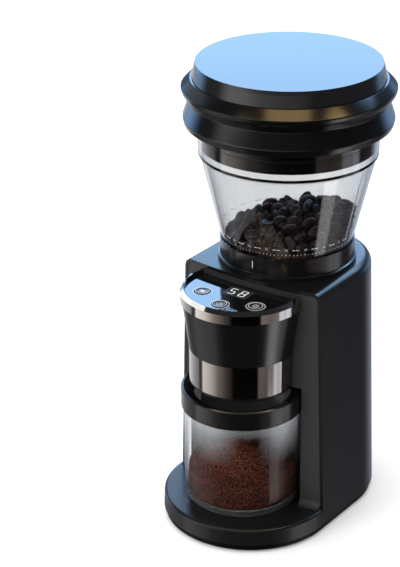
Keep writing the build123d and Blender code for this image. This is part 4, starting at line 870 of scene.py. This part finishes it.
def make_key_signs():
    """Plain sign on each key, with a ring round it."""
    for key, parts in KEY_SIGNS.items():
        low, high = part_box(key)
        middle = (low + high) / 2
        sign = join(parts() + [arc(SIGN_RING_R, SIGN_RING_LINE)])
        sign.data.transform(Matrix.Translation((middle.x, middle.y, high.z)))
        lay_on(sign, key)
        settle(sign, f"{key}_sign", WHITE_PRINT, key)


def make_key_rings():
    """Printed ring on the panel round each key."""
    rings = []
    for key in KEY_SIGNS:
        low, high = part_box(key)
        middle = (low + high) / 2
        rings.append(arc(KEY_RING_R, THIN_LINE, x=middle.x, y=middle.y))
    printed = join(rings)
    printed.data.transform(Matrix.Translation((0, 0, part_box("control_panel")[1].z)))
    lay_on(printed, "control_panel")
    settle(printed, "key_rings", WHITE_PRINT, "housing")


# Studio

def make_camera():
    """Camera where the photograph was taken."""
    level = math.cos(CAMERA_RISE)
    back = Vector((math.sin(CAMERA_TURN) * level, -math.cos(CAMERA_TURN) * level, math.sin(CAMERA_RISE)))
    right = Vector((math.cos(CAMERA_TURN), math.sin(CAMERA_TURN), 0))
    up = back.cross(right)
    side = right * math.cos(CAMERA_ROLL) + up * math.sin(CAMERA_ROLL)
    top = up * math.cos(CAMERA_ROLL) - right * math.sin(CAMERA_ROLL)
    data = bpy.data.cameras.new("photo_camera")
    data.sensor_fit = "HORIZONTAL"
    data.sensor_width = CAMERA_SENSOR
    data.lens = CAMERA_LENS
    data.clip_end = CAMERA_SIGHT
    camera = bpy.data.objects.new("photo_camera", data)
    camera.matrix_world = Matrix((
        (side.x, top.x, back.x, CAMERA_PLACE.x), (side.y, top.y, back.y, CAMERA_PLACE.y),
        (side.z, top.z, back.z, CAMERA_PLACE.z), (0, 0, 0, 1)))
    bpy.context.scene.collection.objects.link(camera)
    bpy.context.scene.camera = camera


def make_floor():
    """Plain pale floor, which gloss surfaces don't mirror."""
    start_fresh()
    bpy.ops.mesh.primitive_plane_add(size=FLOOR_SIZE, location=(0, 0, 0))
    floor = bpy.context.object
    floor.name = "floor"
    finish, tree, shader = new_finish("pale_floor", (0.80, 0.80, 0.80), Roughness=0.9, Specular_IOR_Level=0.0)
    shader.inputs["Emission Color"].default_value = (1.0, 1.0, 1.0, 1.0)
    shader.inputs["Emission Strength"].default_value = FLOOR_GLOW
    open_floor = tree.nodes.new("ShaderNodeBsdfTransparent")
    surface = either_shader(tree, seen_in_gloss(tree), shader.outputs[0], open_floor.outputs[0])
    tree.links.new(surface, tree.nodes["Material Output"].inputs["Surface"])
    floor.data.materials.append(finish)


# Bands of the studio that gloss surfaces mirror: (turn in degrees from the camera, colour), from the floor up
FLOOR_BANDS = [(-180, (0.02, 0.02, 0.02)), (180, (0.02, 0.02, 0.02))]
DEEP_BANDS = [
    (-180, (0.45, 0.50, 0.58)), (-165, (0.15, 0.16, 0.18)), (-130, (0.12, 0.12, 0.13)),
    (-112, (0.45, 0.46, 0.50)), (-62, (0.45, 0.45, 0.47)), (-58, (0.12, 0.12, 0.12)),
    (-40, (0.015, 0.015, 0.015)), (54, (0.015, 0.015, 0.015)), (57, (1.9, 1.85, 1.85)),
    (76, (1.9, 1.85, 1.85)), (80, (0.60, 0.60, 0.62)), (112, (0.15, 0.15, 0.16)),
    (150, (0.25, 0.27, 0.32)), (180, (0.55, 0.60, 0.70)),
]
LOW_BANDS = [
    (-180, (0.45, 0.50, 0.60)), (-158, (0.95, 0.96, 1.00)), (-136, (0.70, 0.70, 0.72)),
    (-112, (0.38, 0.38, 0.38)), (-107, (0.06, 0.06, 0.06)), (-100, (0.05, 0.05, 0.05)),
    (-96, (1.35, 1.30, 1.22)), (-76, (1.00, 0.93, 0.85)), (-56, (0.34, 0.30, 0.27)),
    (-36, (0.10, 0.09, 0.08)), (-20, (0.002, 0.002, 0.002)), (31, (0.002, 0.002, 0.002)),
    (35, (0.26, 0.22, 0.21)), (47, (0.24, 0.20, 0.19)), (51, (0.20, 0.16, 0.15)),
    (68, (0.26, 0.23, 0.22)), (72, (0.95, 0.94, 1.00)), (81, (1.00, 1.00, 1.10)),
    (84, (0.60, 0.60, 0.66)), (87, (1.10, 1.10, 1.22)), (97, (0.90, 0.92, 1.05)),
    (101, (0.06, 0.06, 0.07)), (126, (0.05, 0.05, 0.06)), (142, (0.45, 0.50, 0.62)),
    (160, (0.55, 0.62, 0.76)), (172, (0.25, 0.28, 0.34)), (180, (0.45, 0.50, 0.60)),
]
MIDDLE_BANDS = [
    (-180, (0.04, 0.05, 0.07)), (-158, (0.15, 0.25, 0.40)), (-142, (0.90, 1.60, 2.70)),
    (-128, (0.80, 1.40, 2.40)), (-114, (0.06, 0.07, 0.09)), (-92, (0.10, 0.10, 0.10)),
    (-74, (1.90, 1.90, 1.90)), (-56, (1.90, 1.90, 1.90)), (-36, (0.95, 0.93, 0.91)),
    (-8, (0.55, 0.54, 0.52)), (10, (0.40, 0.39, 0.38)), (26, (0.02, 0.02, 0.02)),
    (114, (0.06, 0.07, 0.09)), (128, (0.60, 1.00, 1.70)), (142, (0.65, 1.10, 1.85)),
    (158, (0.12, 0.20, 0.32)), (180, (0.04, 0.05, 0.07)),
]
HIGH_BANDS = [
    (-180, (2.0, 3.4, 5.4)), (-166, (1.9, 3.3, 5.3)), (-158, (0.40, 0.50, 0.65)),
    (-122, (0.55, 0.62, 0.72)), (-106, (0.06, 0.07, 0.09)), (-60, (0.03, 0.03, 0.03)),
    (60, (0.03, 0.03, 0.03)), (114, (0.06, 0.07, 0.09)), (158, (0.20, 0.32, 0.50)),
    (166, (1.9, 3.3, 5.3)), (180, (2.0, 3.4, 5.4)),
]
SHELF_BANDS = [
    (-180, (1.2, 1.4, 1.6)), (-166, (1.1, 1.3, 1.5)), (-158, (0.40, 0.50, 0.65)),
    (-122, (0.55, 0.62, 0.72)), (-106, (0.06, 0.07, 0.09)), (-60, (0.03, 0.03, 0.03)),
    (60, (0.03, 0.03, 0.03)), (114, (0.06, 0.07, 0.09)), (158, (0.20, 0.32, 0.50)),
    (166, (1.1, 1.3, 1.5)), (180, (1.2, 1.4, 1.6)),
]
CROWN_BANDS = [
    (-180, (1.0, 1.7, 2.7)), (-150, (0.30, 0.45, 0.70)), (-110, (0.06, 0.07, 0.09)),
    (-60, (0.03, 0.03, 0.03)), (60, (0.03, 0.03, 0.03)), (100, (0.10, 0.14, 0.22)),
    (112, (0.80, 1.40, 2.20)), (124, (2.6, 4.4, 6.8)), (158, (3.0, 5.0, 7.5)),
    (170, (1.0, 1.7, 2.7)), (180, (1.0, 1.7, 2.7)),
]
GLINT_BANDS = [
    (-180, (0.05, 0.05, 0.06)), (-80, (0.05, 0.05, 0.05)), (-62, (5.0, 3.9, 2.6)),
    (62, (5.0, 3.9, 2.6)), (80, (0.05, 0.05, 0.05)), (180, (0.05, 0.05, 0.06)),
]
TOP_BANDS = [(-180, (0.05, 0.05, 0.06)), (180, (0.05, 0.05, 0.06))]
# Each storey of bands, with the sines of the rise between which it takes over from the one below
STOREYS = [
    (FLOOR_BANDS, None), (DEEP_BANDS, (-0.88, -0.82)), (LOW_BANDS, (-0.51, -0.46)),
    (MIDDLE_BANDS, (-0.24, -0.15)), (HIGH_BANDS, (0.10, 0.22)), (SHELF_BANDS, (0.43, 0.47)),
    (CROWN_BANDS, (0.52, 0.58)), (GLINT_BANDS, (0.72, 0.75)), (TOP_BANDS, (0.80, 0.83)),
]
AMBIENT = 1.0
FLOOR_GLOW = 0.12
FLOOR_SIZE = 12.0

# Lamps: place, aim, size, power, and for some the colour and the one piece that it lights
WARM = (1.0, 0.65, 0.26)
WHITE = (1.0, 1.0, 1.0)
LAMPS = {
    "overhead_lamp": ((-0.3, 0.2, 1.9), (0, 0, 0.1), 1.8, 26),
    "front_lamp": ((-0.7, -1.6, 1.1), (0, 0, 0.15), 1.2, 14),
    "warm_lamp": ((0.195, -0.305, 1.071), (0.043, -0.042, 0.33), 0.48, 3.0, WARM, "bellows_skin"),
    "warm_side_lamp": ((0.535, 0.115, 1.003), (0.062, -0.015, 0.31), 0.22, 0.64, WARM, "bellows_skin"),
    "trim_lamp": ((-0.611, -0.175, 0.312), (-0.035, -0.066, 0.187), 0.9, 4.0, WHITE, "trim_ring"),
}


def band_ramp(tree, bands):
    """Colour ramp over a full turn, from band places in degrees."""
    ramp = tree.nodes.new("ShaderNodeValToRGB")
    stops = ramp.color_ramp.elements
    stops.remove(stops[1])
    for i, (turn, colour) in enumerate(bands):
        place = (turn + 180) / 360
        stop = stops[0] if i == 0 else stops.new(place)
        stop.position = place
        stop.color = (*colour, 1.0)
    return ramp


def seen_in_gloss(tree):
    """1 for what a gloss surface mirrors, also from behind a clear wall, and 0 for the rest."""
    path = tree.nodes.new("ShaderNodeLightPath")
    mirrored = math_node(tree, "GREATER_THAN", path.outputs["Glossy Depth"], 0.5)
    scattered = math_node(tree, "MULTIPLY", mirrored, path.outputs["Is Diffuse Ray"])
    return math_node(tree, "SUBTRACT", mirrored, scattered)


def smooth_step(tree, value, low, high):
    """0 below low, 1 above high, and a soft rise between them."""
    node = tree.nodes.new("ShaderNodeMapRange")
    node.interpolation_type = "SMOOTHSTEP"
    node.inputs["From Min"].default_value = low
    node.inputs["From Max"].default_value = high
    tree.links.new(value, node.inputs["Value"])
    return node.outputs[0]


def mixed(tree, share, first, second):
    """Colour between the first and the second."""
    node = tree.nodes.new("ShaderNodeMix")
    node.data_type = "RGBA"
    tree.links.new(share, node.inputs["Factor"])
    tree.links.new(first, node.inputs["A"])
    tree.links.new(second, node.inputs["B"])
    return node.outputs["Result"]


def make_studio():
    """White room for dull surfaces, with soft bands of light that gloss surfaces mirror."""
    world = bpy.data.worlds.new("studio")
    bpy.context.scene.world = world
    world.use_nodes = True
    tree = world.node_tree
    tree.nodes.clear()
    place = tree.nodes.new("ShaderNodeTexCoord")
    turn = tree.nodes.new("ShaderNodeVectorRotate")
    turn.rotation_type = "Z_AXIS"
    turn.inputs["Angle"].default_value = -CAMERA_TURN
    split = tree.nodes.new("ShaderNodeSeparateXYZ")
    tree.links.new(place.outputs["Generated"], turn.inputs["Vector"])
    tree.links.new(turn.outputs[0], split.inputs[0])
    away = math_node(tree, "MULTIPLY", split.outputs["Y"], -1.0)
    angle = math_node(tree, "ARCTAN2", split.outputs["X"], away)
    share = math_node(tree, "MULTIPLY_ADD", angle, 1 / (2 * math.pi), 0.5)
    mirrored = None
    for bands, rise in STOREYS:
        ramp = band_ramp(tree, bands)
        tree.links.new(share, ramp.inputs["Fac"])
        if rise is None:
            mirrored = ramp.outputs["Color"]
            continue
        step = smooth_step(tree, split.outputs["Z"], *rise)
        mirrored = mixed(tree, step, mirrored, ramp.outputs["Color"])
    gloss = tree.nodes.new("ShaderNodeBackground")
    tree.links.new(mirrored, gloss.inputs["Color"])
    dull = tree.nodes.new("ShaderNodeBackground")
    dull.inputs["Color"].default_value = (1.0, 1.0, 1.0, 1.0)
    dull.inputs["Strength"].default_value = AMBIENT
    result = tree.nodes.new("ShaderNodeOutputWorld")
    light = either_shader(tree, seen_in_gloss(tree), dull.outputs[0], gloss.outputs[0])
    tree.links.new(light, result.inputs["Surface"])


def make_lamp(name, place, aim, size, power, colour=WHITE, only_on=None):
    """Soft square lamp that points at a place; only_on names the one piece that it lights and shows in."""
    data = bpy.data.lights.new(name, "AREA")
    data.shape = "SQUARE"
    data.size = size
    data.energy = power
    data.color = colour
    lamp = bpy.data.objects.new(name, data)
    lamp.location = place
    lamp.rotation_euler = (Vector(aim) - Vector(place)).to_track_quat("-Z", "Y").to_euler()
    lamp.visible_glossy = only_on is not None
    bpy.context.scene.collection.objects.link(lamp)
    if only_on:
        lit = bpy.data.collections.new(f"{name}_lights")
        lit.objects.link(bpy.data.objects[only_on])
        lamp.light_linking.receiver_collection = lit


finish_nodes()
make_bellows()
make_beans()
make_grounds()
make_grind_scale()
make_pointer()
make_display()
make_key_signs()
make_key_rings()
make_camera()
make_floor()
make_studio()
for lamp_name, lamp_values in LAMPS.items():
    make_lamp(lamp_name, *lamp_values)
bpy.context.scene.view_settings.view_transform = "Standard"
